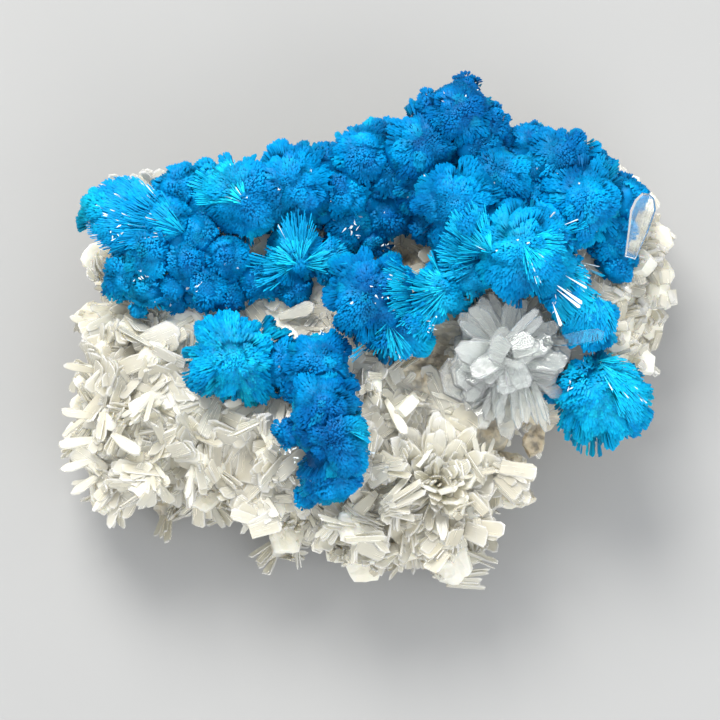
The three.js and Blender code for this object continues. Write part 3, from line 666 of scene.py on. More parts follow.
def comb_blades(comb, balls, rng):
    """The same as rosette_blades for fibres that lie along the surface and radiate from one point."""
    x, y, reach, azimuth, half, turquoise, white = comb
    count = int(COMB_DENSITY * math.radians(half) * reach**2)
    turn = half * (2 * rng.random(count) - 1)
    start = reach * np.sqrt(rng.random(count)) * COMB_START
    ragged = 1 - COMB_RAGGED[0] * np.abs(turn / half) ** 3 - COMB_RAGGED[1] * rng.random(count)
    angle = np.radians(azimuth + turn + rng.normal(0, COMB_STRAY, count))
    ray = np.stack([np.cos(angle), np.sin(angle)], axis=1)
    length = between(COMB_LENGTH, rng, count)
    feet = np.array([x, y]) + ray * start[:, None]
    ends = feet + ray * length[:, None]
    foot_z, end_z = crust_heights(feet, balls), crust_heights(ends, balls)
    climb = end_z - foot_z
    keep = np.isfinite(climb) & (start + 0.5 * length < reach * ragged)
    keep &= np.abs(climb) < COMB_STEEPEST * length
    roots = np.column_stack([feet, foot_z - COMB_ROOT])[keep]
    rise = COMB_RISE * (BLUE_RISE + turquoise)
    tips = np.column_stack([ends, end_z + rng.uniform(-COMB_SINK, rise, count)])[keep]
    count = len(roots)

    waves = streak_waves(np.radians(turn)[keep], COMB_STREAKS, rng.uniform(0, 2 * math.pi, 3)) / 2
    hub = np.exp(-((start[keep] / COMB_HUB) ** 2))
    contrast = COMB_CONTRAST[0] + COMB_CONTRAST[1] * turquoise
    streaks = contrast * (waves + COMB_SPECKLE * rng.normal(size=count))
    look = np.empty((count, 4))
    look[:, 0] = np.clip(turquoise + streaks + HUB_TURQUOISE * hub, 0, COMB_MOST)
    look[:, 1] = COMB_TONE + COMB_WAVE_TONE * waves + BLADE_TONES * rng.normal(size=count)
    look[:, 1] += at_places(TONE_PLACES, tips)
    look[:, 2] = 1
    # Painted glints: white fibres, more of them along the streaks.
    glint_chance = white * (1 + GLINT_MORE * (waves > GLINT_STREAK))
    look[:, 3] = np.where(rng.random(count) < glint_chance, GLINT_WHITENESS, 0)
    widths, thicks = between(COMB_WIDTH, rng, count), between(COMB_THICK, rng, count)
    slope = (climb / length)[keep]
    outward = unit(np.column_stack([-ray[keep] * slope[:, None], np.ones(count)]))
    return roots, tips, widths, thicks, look, outward


def pale_patch(patch, rng):
    """The same for small crystals that lie about a place."""
    middle, radius, count = patch
    roots = np.array(middle) + rng.normal(0, radius * PATCH_SPREAD, (count, 3)) * PATCH_FLAT
    way = unit(rng.normal(size=(count, 3)) + PATCH_UP)
    tips = roots + way * between(PATCH_LENGTH, rng, (count, 1))
    look = np.tile(PATCH_LOOK, (count, 1))
    outward = unit(rng.normal(0, PATCH_FACES, (count, 3)) + (0, 0, 1))
    return roots, tips, between(PATCH_WIDTH, rng, count), between(PATCH_THICK, rng, count), look, outward


def rosette_core(rosette):
    """The rosette's body, which shows between its blades."""
    mesh = bpy.data.meshes.new("core")
    shape = bmesh.new()
    bmesh.ops.create_icosphere(shape, subdivisions=3 if rosette.radius > FINE_CORE else 2, radius=1)
    shape.to_mesh(mesh)
    shape.free()
    directions = unit(np.array([vertex.co for vertex in mesh.vertices]))
    triangles = np.array([list(face.vertices) for face in mesh.polygons])
    bpy.data.meshes.remove(mesh)
    _, lobe, share = rosette.reach(directions)
    reach = rosette.grown(directions, rosette.soft_reach(directions))
    points = rosette.points(directions, CORE_SHARE * reach)
    look = np.empty((len(points), 4))
    look[:, 0] = at_places(TURQUOISE_PLACES, points)
    look[:, 1] = CORE_TONE + rosette.lobe_tone[lobe] + at_places(TONE_PLACES, points)
    # Painted shade: the body darker towards its lobes' borders.
    look[:, 2] = CORE_SHADE[0] - CORE_SHADE[1] * share**2
    look[:, 3] = 0
    return points, triangles, {"look": look, "normal": directions}


def outside_rock(points, rock):
    """True for points that lie outside the rock: on the way up, no face is met from behind first."""
    upward = Vector((0, 0, 1))
    outside = np.empty(len(points), bool)
    for i, point in enumerate((points + LAYOUT_SHIFT) * MM):
        _, normal, _, _ = rock.ray_cast(point, upward)
        outside[i] = normal is None or normal.z < 0
    return outside


def crease_balls(balls):
    """Smaller, lower balls where neighbours leave a gap between them."""
    fillers = []
    for i, first in enumerate(balls):
        for second in balls[i + 1:]:
            apart = math.dist(first[:3], second[:3])
            small = min(first[3], second[3])
            if not CREASE[0] * (first[3] + second[3]) < apart < CREASE[1] * (first[3] + second[3]):
                continue
            x, y, z = ((a + b) / 2 for a, b in zip(first[:3], second[:3]))
            filler = (x, y, z - CREASE_DROP * small, CREASE_SIZE * small)
            if all(math.dist(ball[:3], filler[:3]) > CREASE_ROOM * ball[3] for ball in balls + fillers):
                fillers.append(filler)
    return fillers


def cavansite_piece(piece, all_balls, rock, seed, material):
    name, node, balls, open_balls, combs, patches, pale_blades = piece
    rng = np.random.default_rng(seed)
    closed = balls + crease_balls(balls)
    rows = [(ball, (0, 0, 0), 0.0, False) for ball in closed]
    rows += [(ball, toward, OPEN_TURQUOISE, True) for ball, toward in open_balls]
    others = all_balls + [ball for ball in closed if ball not in all_balls]
    parts = []
    for ball, toward, turquoise, is_open in rows:
        rosette = Rosette(ball, is_open, others, rng)
        blades = rosette_blades(rosette, toward, turquoise, rng)
        keep = rosette.owns(blades[1])
        keep[keep] = outside_rock(blades[1][keep], rock)
        parts.append(needles(*(part[keep] for part in blades), rng))
        parts.append(rosette_core(rosette))
    for comb in combs:
        parts.append(needles(*comb_blades(comb, all_balls, rng), rng))
    for patch in patches:
        parts.append(needles(*pale_patch(patch, rng), rng))
    for blade in pale_blades:
        foot, tip, width, thick = (np.array([value], float) for value in blade)
        look, upward = np.array([LONG_BLADE_LOOK]), np.array([[0, 0, 1.0]])
        parts.append(needles(foot, tip, width, thick, look, upward, rng))
    dress(new_object(name, *joined(parts)), node, material)


# ---------------------------------------------------------------- stilbite

# A plate's outline as shares of its length and of half its width.
PLATE_OUTLINE = np.array([(0, -0.85), (0.9, -1), (1, -0.62), (0.96, 0.55), (0.82, 1), (0, 0.85)])
POINTED_OUTLINE = np.array([(0, -0.7), (0.78, -1), (0.98, -0.3), (1, 0.1), (0.7, 1), (0, 0.8)])
BLUNT_OUTLINE = np.array([(0, -0.7), (0.84, -1), (1, -0.5), (0.93, 0.5), (0.66, 1), (0, 0.8)])
SHOW_OUTLINE = np.array(
    [(0, -0.45), (0.35, -0.8), (0.72, -1), (0.88, -0.86), (0.985, -0.42), (1, 0.12),
     (0.93, 0.66), (0.8, 0.94), (0.45, 0.9), (0, 0.45)]
)
RIM_ACROSS, RIM_ALONG = 0.84, 0.965  # how far the broad faces reach, as shares
RAGGED_END, RAGGED_SIDES = 0.02, (0.88, 1.08)  # how single plates differ from the outline


def plates(outline, foot, axis, face, length, width, thick, curve, tone, rng):
    """Closed flat crystals with bevelled rims, bent towards their faces by a share of their length."""
    count, corners = len(foot), len(outline)
    side, up = cross_frame(axis, face)
    flip = np.where(rng.random(count) < 0.5, -1.0, 1.0)
    is_out = outline[None, :, 0] > 0.1
    along = outline[None, :, 0] + rng.normal(0, RAGGED_END, (count, corners)) * is_out
    across = outline[None, :, 1] * between(RAGGED_SIDES, rng, (count, corners))
    points, locals_, shares = [], [], []
    for level in (-1, 0, 1):
        share = 1.0 if level == 0 else RIM_ALONG
        a = (0.5 + (along - 0.5) * share) * length[:, None]
        b = across * (1.0 if level == 0 else RIM_ACROSS) * width[:, None] / 2
        bend = curve[:, None] * (a / length[:, None]) ** 2 * length[:, None]
        h = level * thick[:, None] / 2 + bend
        points.append(
            foot[:, None] + axis[:, None] * a[..., None] + (side * flip[:, None])[:, None] * b[..., None]
            + up[:, None] * h[..., None]
        )
        locals_.append(np.stack([a, b, np.broadcast_to(tone[:, None], a.shape)], axis=-1))
        shares.append(np.stack([along * share, b / width[:, None] * 2, a * 0], axis=-1))
    ring = np.arange(corners)
    after = (ring + 1) % corners
    bottom = [(0, i + 1, i) for i in range(1, corners - 1)]
    top = [(2 * corners, 2 * corners + i, 2 * corners + i + 1) for i in range(1, corners - 1)]
    bands = []
    for level in (0, corners):
        bands += [(level + i, level + j, level + corners + i) for i, j in zip(ring, after)]
        bands += [(level + j, level + corners + j, level + corners + i) for i, j in zip(ring, after)]
    faces = np.array(bottom + top + bands)
    per_plate = 3 * corners
    triangles = faces[None] + per_plate * np.arange(count)[:, None, None]
    mirrored = (flip < 0)[:, None, None]
    triangles = np.where(mirrored, triangles[:, :, ::-1], triangles).reshape(-1, 3)
    vertices = np.concatenate(points, axis=1).reshape(-1, 3)
    local = np.concatenate(locals_, axis=1).reshape(-1, 3)
    share = np.concatenate(shares, axis=1).reshape(-1, 3)
    return vertices, triangles, {"local": local, "share": share}


def stacks(outline, foot, axis, face, length, width, thick, curve, count, rng):
    """Each sheaf as a stack of plates that fan out from one foot."""
    which = np.repeat(np.arange(len(foot)), count)
    total = len(which)
    step = np.concatenate([np.arange(n) - (n - 1) / 2 for n in count])[:, None]
    side, up = cross_frame(axis[which], face[which])
    way = np.where(rng.random(len(foot)) < 0.5, -1.0, 1.0)[which][:, None]
    fan = way * step * FAN_STEP + rng.normal(0, FAN_STRAY, (total, 1))
    leaf = step * LEAF_STEP + rng.normal(0, LEAF_STRAY, (total, 1))
    plate_axis = unit(axis[which] + side * fan + up * leaf)
    plate_face = unit(up + side * rng.normal(0, ROLL_STRAY, (total, 1)))
    start = foot[which] + up * step * (thick[which] * STACK_STEP)[:, None]
    slide = way * step * SLIDE_STEP + rng.normal(0, SLIDE_STRAY, (total, 1))
    start = start + side * slide * width[which][:, None]
    return plates(
        outline, start, plate_axis, plate_face, length[which] * between(PLATE_LENGTHS, rng, total),
        width[which] * between(PLATE_WIDTHS, rng, total), thick[which] * between(PLATE_THICKS, rng, total),
        curve[which], rng.random(total), rng,
    )


def upward_faces(roll, count, rng):
    return np.array([0, 0, 1.0]) + roll * rng.normal(size=(count, 3))


def placed_columns(rows):
    """Feet, the ways from them to the tips, and the other columns of plates set one by one."""
    foot, tip, *others = (np.array(column) for column in zip(*rows))
    return foot, tip - foot, *others


def spoke_stacks(outline, middle, spokes, thick, roll, rng):
    table = np.array(spokes, float)
    count = len(table)
    azimuth = table[:, 0] + rng.normal(0, SPOKE_STRAY, count)
    axis = compass(azimuth, table[:, 1] + rng.normal(0, SPOKE_STRAY, count))
    face = upward_faces(roll, count, rng)
    return stacks(
        outline, np.array(middle) + axis * SPOKE_START, axis, face, table[:, 2], table[:, 3],
        between(thick, rng, count), -table[:, 5], table[:, 4].astype(int), rng,
    )


def placed_stacks(outline, placed, roll, rng):
    foot, reach, width, thick, count = placed_columns(placed)
    face = upward_faces(roll, len(placed), rng)
    curve = rng.normal(0, CURVE, len(placed))
    return stacks(
        outline, foot, unit(reach), face, np.linalg.norm(reach, axis=1), width, thick, curve, count, rng
    )


def crown_stacks(outline, middle, crown, thick, roll, rng):
    """Stacks that point from a sheaf's middle all over its upper half."""
    count, length, width = crown
    axis = spread_directions(2 * count, rng, CROWN_JITTER)
    axis = axis[axis[:, 2] > LOWEST_CROWN]
    total = len(axis)
    face = upward_faces(roll, total, rng)
    return stacks(
        outline, np.array(middle) + axis * CROWN_START, axis, face, between(length, rng, total),
        between(width, rng, total), between(thick, rng, total), rng.normal(0, CROWN_CURVE, total),
        rng.integers(*CROWN_COUNTS, total), rng,
    )


def placed_plates(placed, rng):
    foot, reach, width, thick = placed_columns(placed)
    count = len(placed)
    face = upward_faces(PLACED_ROLL, count, rng)
    return plates(
        SHOW_OUTLINE, foot, unit(reach), face, np.linalg.norm(reach, axis=1), width, thick,
        rng.normal(0, PLACED_CURVE, count), rng.random(count), rng,
    )


def inside_any(points, places):
    inside = np.zeros(len(points), bool)
    for place in places:
        inside |= np.linalg.norm(points - np.array(place[:3]), axis=1) < place[3]
    return inside


def rock_samples(node, rng):
    """Points and normals spread by area over the CAD rock, in the layout."""
    mesh = node.data
    mesh.calc_loop_triangles()
    corners = np.array([vertex.co for vertex in mesh.vertices]) / MM - LAYOUT_SHIFT
    triangles = np.array([list(triangle.vertices) for triangle in mesh.loop_triangles])
    a, b, c = (corners[triangles[:, i]] for i in range(3))
    normal = np.cross(b - a, c - a)
    area = np.linalg.norm(normal, axis=1)
    picked = rng.choice(len(triangles), SAMPLES, p=area / area.sum())
    u, v = rng.random((2, SAMPLES, 1))
    folded = u + v > 1
    u, v = np.where(folded, 1 - u, u), np.where(folded, 1 - v, v)
    return a[picked] + (b - a)[picked] * u + (c - a)[picked] * v, unit(normal)[picked]


def style_names(points, normals):
    names = np.full(len(points), "wall", dtype="U8")
    names[(normals[:, 2] > FIELD_SLOPE) & (points[:, 2] > FIELD_HEIGHT)] = "field"
    edge = (points[:, 0] < FRINGE_X) | (points[:, 1] < FRINGE_Y)
    names[edge & (names == "wall")] = "fringe"
    names[points[:, 0] > STUBBY_X] = "stubby"
    names[inside_any(points, BARE_PLACES)] = "bare"
    return names


def thinned(points, names):
    """Indices of the samples that keep their style's spacing to those kept before them."""
    kept, cells = [], {}
    for i, (point, name) in enumerate(zip(points, names)):
        gap = STYLES[name].gap
        cell = tuple(int(math.floor(value / CELL)) for value in point)
        reach = int(math.ceil(gap / CELL))
        around = range(-reach, reach + 1)
        crowded = any(
            np.sum((points[j] - point) ** 2) < gap * gap
            for dx in around for dy in around for dz in around
            for j in cells.get((cell[0] + dx, cell[1] + dy, cell[2] + dz), ())
        )
        if not crowded:
            kept.append(i)
            cells.setdefault(cell, []).append(i)
    return np.array(kept)


def styled(names, key, rng):
    return np.array([between(getattr(STYLES[name], key), rng) for name in names])


def bundle_turns(points, normals, rng):
    """Directions along the rock at a slowly changing angle, so that neighbours lie alike."""
    level = np.where(np.abs(normals[:, 2:]) > 0.9, [[1.0, 0, 0]], [[0, 0, 1.0]])
    first = unit(np.cross(normals, level))
    second = np.cross(normals, first)
    slow = np.array([noise.noise(Vector(point) / BUNDLE_SIZE) for point in points])
    angle = BUNDLE_TURN * slow + rng.normal(0, BUNDLE_STRAY, len(points))
    angle += math.pi * rng.integers(0, 2, len(points))
    return first * np.cos(angle)[:, None] + second * np.sin(angle)[:, None]


def rock_sheaves(node, balls, rng):
    """The sheaves that cover the rock: foot, axis, face, length, width, thickness, count."""
    points, normals = rock_samples(node, rng)
    underneath = (normals[:, 2] < DOWNWARD) & (points[:, 2] < DOWN_HEIGHT)
    open_air = (points[:, 2] > LOWEST_ROOT) & ~underneath
    open_air &= ~inside_any(points, [(*ball[:3], BALL_CLEAR[0] * ball[3]) for ball in balls])
    open_air &= ~inside_any(points, [(*SHEAF_MIDDLE, SHEAF_CLEAR), (*BURST_MIDDLE, BURST_CLEAR)])
    points, normals = points[open_air], normals[open_air]
    names = style_names(points, normals)
    kept = thinned(points, names)
    points, normals, names = points[kept], normals[kept], names[kept]
    count = len(points)
    length, width, thick = (styled(names, key, rng) for key in ("length", "width", "thick"))
    lift = styled(names, "lift", rng)[:, None]
    axis = unit(bundle_turns(points, normals, rng) + lift * normals)
    turn = np.array([STYLES[name].turn for name in names])[:, None]
    flat_face = normals + (normals[:, 2:] < STEEP_SLOPE) * np.array(STEEP_UP)
    on_edge = rng.random((count, 1)) < EDGE_SHARE
    face = unit(flat_face) * ~on_edge + np.where(on_edge, 1, turn) * rng.normal(size=(count, 3))
    rise = mass_rise(points, normals, balls)[:, None]
    depth = ROOT_DEPTH * (ROOT_LEVEL + ROOT_LIFT * lift) - rise
    foot = points - axis * (ROOT_SHARE * length[:, None]) - normals * depth
    tips = foot + axis * length[:, None]
    low, high = (np.array(corner) / MM - LAYOUT_SHIFT for corner in CAD_BOX)
    reach = width[:, None] / 2
    fits = np.all(tips - reach > low - (BOX_MARGIN, BOX_MARGIN, 0), axis=1)
    fits &= np.all(tips + reach < high + BOX_MARGIN, axis=1)
    fits &= np.minimum(foot[:, 2], tips[:, 2]) - width / 2 > LOWEST_END
    shy = [(*ball[:3], BALL_CLEAR[1] * ball[3]) for ball in balls] + [(*SHEAF_MIDDLE, SHEAF_SHY)]
    for share in OUTER_HALF:
        fits &= ~inside_any(foot + axis * (length * share)[:, None], shy)
    counts = np.array([STYLES[name].count for name in names]) + rng.integers(-1, 2, count)
    return [part[fits] for part in (foot, axis, face, length, width, thick, np.maximum(counts, 1))]


def stilbite_sheaves(node, balls, seed):
    """(points, triangles, fields) of the rock's blades west and east of SPLIT_X."""
    rng = np.random.default_rng(seed)
    *sizes, count = rock_sheaves(node, balls, rng)
    is_west = sizes[0][:, 0] < SPLIT_X
    halves = []
    for half in (is_west, ~is_west):
        curve = rng.normal(0, CURVE, half.sum())
        own_sizes = (size[half] for size in sizes)
        halves.append(stacks(PLATE_OUTLINE, *own_sizes, curve, count[half], rng))
    west = joined([halves[0], placed_plates(PLACED_PLATES, rng)])
    east = joined([
        halves[1],
        spoke_stacks(SHOW_OUTLINE, BURST_MIDDLE, BURST_SPOKES, BURST_THICK, BURST_ROLL, rng),
        crown_stacks(PLATE_OUTLINE, BURST_MIDDLE, BURST_CROWN, CROWN_THICK, CROWN_ROLL, rng),
    ])
    return west, east


def mass_rise(points, normals, balls):
    """How far the mass between the plates stands over the rock: not at all by rosettes."""
    rise = FRINGE_RISE + (FIELD_RISE - FRINGE_RISE) * ramp_up(normals[:, 2], *RISE_SLOPES)
    rise *= ramp_up(points[:, 2], *RISE_HEIGHTS)
    for x, y, z, radius in [*BARE_PLACES, *balls]:
        away = np.linalg.norm(points - (x, y, z), axis=1) - radius
        rise *= ramp_up(away, 0, RISE_EDGE)
    in_burst = np.linalg.norm(points - np.array(BURST_MIDDLE), axis=1) < BURST_REACH
    return np.where(in_burst, -BURST_SINK, rise)


def refine(shape):
    """Cuts long edges in halves, round by round, and evens out the triangles of the flat base."""
    for limit in CUTS:
        long_edges = [edge for edge in shape.edges if edge.calc_length() > limit * MM]
        bmesh.ops.subdivide_edges(shape, edges=long_edges, cuts=1)
        bmesh.ops.triangulate(shape, faces=shape.faces)
        base = [face for face in shape.faces if face.normal.z < BASE_SLOPE]
        inner = [edge for edge in shape.edges if all(f.normal.z < BASE_SLOPE for f in edge.link_faces)]
        bmesh.ops.beautify_fill(shape, faces=base, edges=inner, method="ANGLE")
    shape.normal_update()


def rock_bumps(place):
    fine = noise.fractal(place * ROCK_NOISE[1], 0.8, 2.0, 3)
    chips, _ = noise.voronoi(place * ROCK_CHIPS[1])
    grains, _ = noise.voronoi(place * ROCK_GRAINS[1])
    bumps = ROCK_NOISE[0] * fine + ROCK_CHIPS[0] * (CHIP_LEVEL - (chips[1] - chips[0]))
    bumps += ROCK_GRAINS[0] * (GRAIN_LEVEL - grains[0])
    return bumps * (1 + LOW_BUMPS[0] * max(0.0, 1 - place.z / LOW_BUMPS[1]))


def rough_rock(node, balls, material):
    """The rock under the blades: a finer, rougher copy of its CAD solid."""
    shape = bmesh.new()
    shape.from_mesh(node.data)
    bmesh.ops.remove_doubles(shape, verts=shape.verts, dist=WELD * MM)
    refine(shape)
    places = np.array([vertex.co for vertex in shape.verts]) / MM - LAYOUT_SHIFT
    rises = mass_rise(places, np.array([vertex.normal for vertex in shape.verts]), balls)
    moves = []
    for vertex, rise in zip(shape.verts, rises):
        amount = rise + rock_bumps(vertex.co / MM) * (1 - RISE_CALM * abs(rise) / FIELD_RISE)
        on_base = vertex.co.z < BASE_HEIGHT * MM
        hollow = Vector((0, 0, max(0.0, amount) * BASE_HOLLOWS))
        moves.append(hollow if on_base else vertex.normal * amount)
    for vertex, move in zip(shape.verts, moves):
        vertex.co += move * MM
        vertex.co.z = max(vertex.co.z, 0)
    mesh = bpy.data.meshes.new("stilbite_rock")
    shape.to_mesh(mesh)
    shape.free()
    places = np.array([vertex.co for vertex in mesh.vertices]) / MM - LAYOUT_SHIFT
    look = np.zeros((len(places), 4))
    for x, y, z, radius in BARE_PLACES:
        away = np.linalg.norm(places - (x, y, z), axis=1)
        look[:, 0] = np.maximum(look[:, 0], np.clip(BARE_FADE * (BARE_EDGE - away / radius), 0, 1))
    look[:, 1] = np.clip(LOW_STONE - places[:, 2] / LOW_FADE, 0, 1)
    add_field(mesh, "look", look)
    dress(linked_object("stilbite_rock", mesh), "stilbite_matrix", material)


# ---------------------------------------------------------------- materials


class Graph:
    """A material's node tree, with short calls for the few nodes that the finishes need."""

    def __init__(self, name):
        self.material = bpy.data.materials.new(name)
        self.material.use_nodes = True
        self.nodes = self.material.node_tree.nodes
        self.shader = self.nodes["Principled BSDF"]
        self.output = self.nodes["Material Output"]

    def link(self, source, target):
        self.material.node_tree.links.new(source, target)

    def put(self, value, socket):
        if isinstance(value, bpy.types.NodeSocket):
            self.link(value, socket)
        else:
            socket.default_value = (*value, 1) if isinstance(value, tuple) else value

    def set(self, **values):
        for name, value in values.items():
            self.shader.inputs[name.replace("_", " ")].default_value = value

    def attribute(self, name):
        node = self.nodes.new("ShaderNodeAttribute")
        node.attribute_name = name
        return node

    def channels(self, colour):
        node = self.nodes.new("ShaderNodeSeparateColor")
        self.link(colour, node.inputs[0])
        return node.outputs

    def mix(self, share, first, second, blend="MIX"):
        node = self.nodes.new("ShaderNodeMix")
        node.data_type = "RGBA"
        node.blend_type = blend
        for value, socket in zip((share, first, second), (node.inputs[i] for i in (0, 6, 7))):
            self.put(value, socket)
        return node.outputs[2]

    def math(self, operation, first, second=0.0, clamp=False):
        node = self.nodes.new("ShaderNodeMath")
        node.operation = operation
        node.use_clamp = clamp
        self.put(first, node.inputs[0])
        self.put(second, node.inputs[1])
        return node.outputs[0]

    def ramp(self, value, *stops):
        node = self.nodes.new("ShaderNodeValToRGB")
        while len(node.color_ramp.elements) < len(stops):
            node.color_ramp.elements.new(0.5)
        for element, (place, colour) in zip(node.color_ramp.elements, stops):
            element.position = place
            element.color = (*colour, 1) if isinstance(colour, tuple) else (colour, colour, colour, 1)
        self.link(value, node.inputs[0])
        return node.outputs[0]

    def mask(self, value, low, high):
        """Nought up to the low value, one from the high value on."""
        return self.ramp(value, (low, 0.0), (high, 1.0))

    def noise(self, scale, detail=3.0, vector=None, stretch=None):
        node = self.nodes.new("ShaderNodeTexNoise")
        node.inputs["Scale"].default_value = scale
        node.inputs["Detail"].default_value = detail
        if vector is None:
            vector = self.nodes.new("ShaderNodeTexCoord").outputs["Object"]
        if stretch:
            mapping = self.nodes.new("ShaderNodeMapping")
            mapping.inputs["Scale"].default_value = stretch
            self.link(vector, mapping.inputs["Vector"])
            vector = mapping.outputs[0]
        self.link(vector, node.inputs["Vector"])
        return node.outputs["Fac"]

    def bump(self, height, strength, distance):
        node = self.nodes.new("ShaderNodeBump")
        node.inputs["Strength"].default_value = strength
        node.inputs["Distance"].default_value = distance
        self.link(height, node.inputs["Height"])
        self.link(node.outputs[0], self.shader.inputs["Normal"])

    def feed(self, source, name):
        self.link(source, self.shader.inputs[name])


DEEP_BLUE = (0.0004, 0.15, 0.46)
BRIGHT_BLUE = (0.0005, 0.47, 0.97)
TURQUOISE = (0.010, 0.76, 0.99)
# White of pale crystals, also used for painted glints.
PALE_AND_GLINT = (0.86, 0.93, 0.95)
CREAM = (0.975, 0.94, 0.80)
CLOUDY_STONE = (0.99, 0.975, 0.89)
# Painted highlight on the edges of milky plates.
EDGE_HIGHLIGHT_STONE = (0.998, 0.998, 0.99)
ICE = (0.975, 0.995, 0.97)
ICE_SHADE = (0.93, 0.965, 0.945)
# Painted highlight on the edges of clear plates.
EDGE_HIGHLIGHT_ICE = (0.998, 0.999, 0.998)
MASS_CREAM = (0.8, 0.765, 0.64)
MASS_WHITE = (0.86, 0.84, 0.75)
TAN = (0.60, 0.52, 0.38)
BROWN_GREY = (0.27, 0.24, 0.19)
GREY_ROCK = (0.42, 0.40, 0.35)
FLOOR_DARK = (0.355, 0.355, 0.35)
FLOOR_LIGHT = (0.38, 0.38, 0.375)
ABSORBED = (0.93, 0.97, 0.95)
ABSORPTION = 15
STILBITE_IOR, CAVANSITE_IOR = 1.5, 1.54
# Of the rock's plates, of the sheaf's, of those in its heart and of the clear blades.
BLADE_CLARITY, SHEAF_CLARITY, HEART_CLARITY, GLASS_CLARITY = 0.54, 0.85, 0.5, 1.0
POLISH, HEART_POLISH = 0.04, 0.16  # roughness of the clear materials where they are smoothest


def cavansite_material():
    graph = Graph("cavansite_blades")
    look = graph.attribute("look")
    turquoise, tone, shade = graph.channels(look.outputs["Color"])[:3]
    cloud = graph.noise(260, 2.0)
    drift = graph.math("MULTIPLY", graph.math("SUBTRACT", cloud, 0.5), 0.9)
    colour = graph.mix(graph.math("ADD", tone, drift, clamp=True), DEEP_BLUE, BRIGHT_BLUE)
    colour = graph.mix(turquoise, colour, TURQUOISE)
    # Painted shade: the blue multiplied darker where the look's shade is low.
    colour = graph.mix(1.0, colour, graph.ramp(shade, (0.0, 0.12), (0.75, 0.8), (1.0, 1.0)), "MULTIPLY")
    # White of pale crystals and of painted glints.
    colour = graph.mix(look.outputs["Alpha"], colour, PALE_AND_GLINT)
    graph.feed(colour, "Base Color")
    graph.feed(graph.ramp(graph.noise(900, 2.0), (0.3, 0.3), (0.7, 0.55)), "Roughness")
    graph.set(IOR=CAVANSITE_IOR, Specular_IOR_Level=0.06)
    graph.bump(graph.noise(2600, 2.0), 0.25, 0.00006)
    return graph.material


def striation(graph):
    """Fine lines along a plate's length, from its own place along and across."""
    local = graph.attribute("local").outputs["Vector"]
    return graph.noise(1.0, 3.0, vector=local, stretch=(0.25, 5.0, 23.0))


def edge_light(graph):
    """Painted highlight: one at a plate's long edges and its end, nought over the rest of it."""
    node = graph.nodes.new("ShaderNodeSeparateXYZ")
    graph.link(graph.attribute("share").outputs["Vector"], node.inputs[0])
    along, across = node.outputs[0], graph.math("ABSOLUTE", node.outputs[1])
    sides = graph.mask(across, 0.74, 0.86)
    end = graph.mask(along, 0.88, 0.95)
    return graph.math("MAXIMUM", sides, end)


def stilbite_blade_material():
    graph = Graph("stilbite_blades")
    local = graph.attribute("local").outputs["Vector"]
    tone = graph.noise(1.0, 0.0, vector=local, stretch=(0.02, 0.02, 9.0))
    warmth = graph.mask(graph.noise(110, 3.0), 0.42, 0.66)
    colour = graph.mix(graph.mask(tone, 0.35, 0.65), CLOUDY_STONE, CREAM)
    colour = graph.mix(graph.math("MULTIPLY", warmth, 0.2), colour, TAN)
    lines = striation(graph)
    colour = graph.mix(1.0, colour, graph.ramp(lines, (0.35, 0.96), (0.6, 1.0)), "MULTIPLY")
    # Painted highlight: plate edges mixed towards white.
    colour = graph.mix(graph.math("MULTIPLY", edge_light(graph), 0.75), colour, EDGE_HIGHLIGHT_STONE)
    graph.feed(colour, "Base Color")
    graph.feed(graph.ramp(lines, (0.3, 0.12), (0.7, 0.3)), "Roughness")
    graph.set(IOR=STILBITE_IOR, Transmission_Weight=BLADE_CLARITY, Specular_IOR_Level=0.4)
    graph.bump(lines, 0.15, 0.0001)
    return graph.material


def rock_material():
    graph = Graph("stilbite_rock_stone")
    bare, rest = graph.channels(graph.attribute("look").outputs["Color"])[:2]
    grain = graph.noise(1100, 6.0)
    cloud = graph.noise(120, 4.0)
    colour = graph.mix(graph.mask(cloud, 0.35, 0.65), MASS_WHITE, MASS_CREAM)
    brown = graph.mix(graph.mask(grain, 0.4, 0.6), BROWN_GREY, TAN)
    stone = graph.mix(graph.mask(grain, 0.4, 0.62), GREY_ROCK, TAN)
    colour = graph.mix(bare, colour, brown)
    colour = graph.mix(graph.math("MULTIPLY", rest, 0.85), colour, stone)
    graph.feed(colour, "Base Color")
    graph.feed(graph.ramp(grain, (0.3, 0.4), (0.7, 0.75)), "Roughness")
    graph.bump(grain, 0.5, 0.0003)
    graph.set(Subsurface_Weight=0.6, Subsurface_Scale=0.0012, Subsurface_Radius=(1.0, 0.85, 0.6))
    return graph.material


def clear_material(name, roughness, clarity):
    graph = Graph(name)
    lines = striation(graph)
    colour = graph.mix(graph.mask(lines, 0.4, 0.7), ICE, ICE_SHADE)
    # Painted highlight: plate edges mixed towards white.
    graph.feed(graph.mix(edge_light(graph), colour, EDGE_HIGHLIGHT_ICE), "Base Color")
    graph.set(IOR=STILBITE_IOR, Transmission_Weight=clarity)
    graph.feed(graph.ramp(lines, (0.3, roughness), (0.7, roughness * 2.2)), "Roughness")
    graph.bump(lines, 0.3, 0.0001)
    absorption = graph.nodes.new("ShaderNodeVolumeAbsorption")
    absorption.inputs["Color"].default_value = (*ABSORBED, 1)
    absorption.inputs["Density"].default_value = ABSORPTION
    graph.link(absorption.outputs[0], graph.output.inputs["Volume"])
    return graph.material


def floor_material():
    graph = Graph("studio_floor")
    graph.feed(graph.mix(graph.noise(30, 2.0), FLOOR_DARK, FLOOR_LIGHT), "Base Color")
    graph.set(Roughness=0.75)
    return graph.material


# ---------------------------------------------------------------- stage

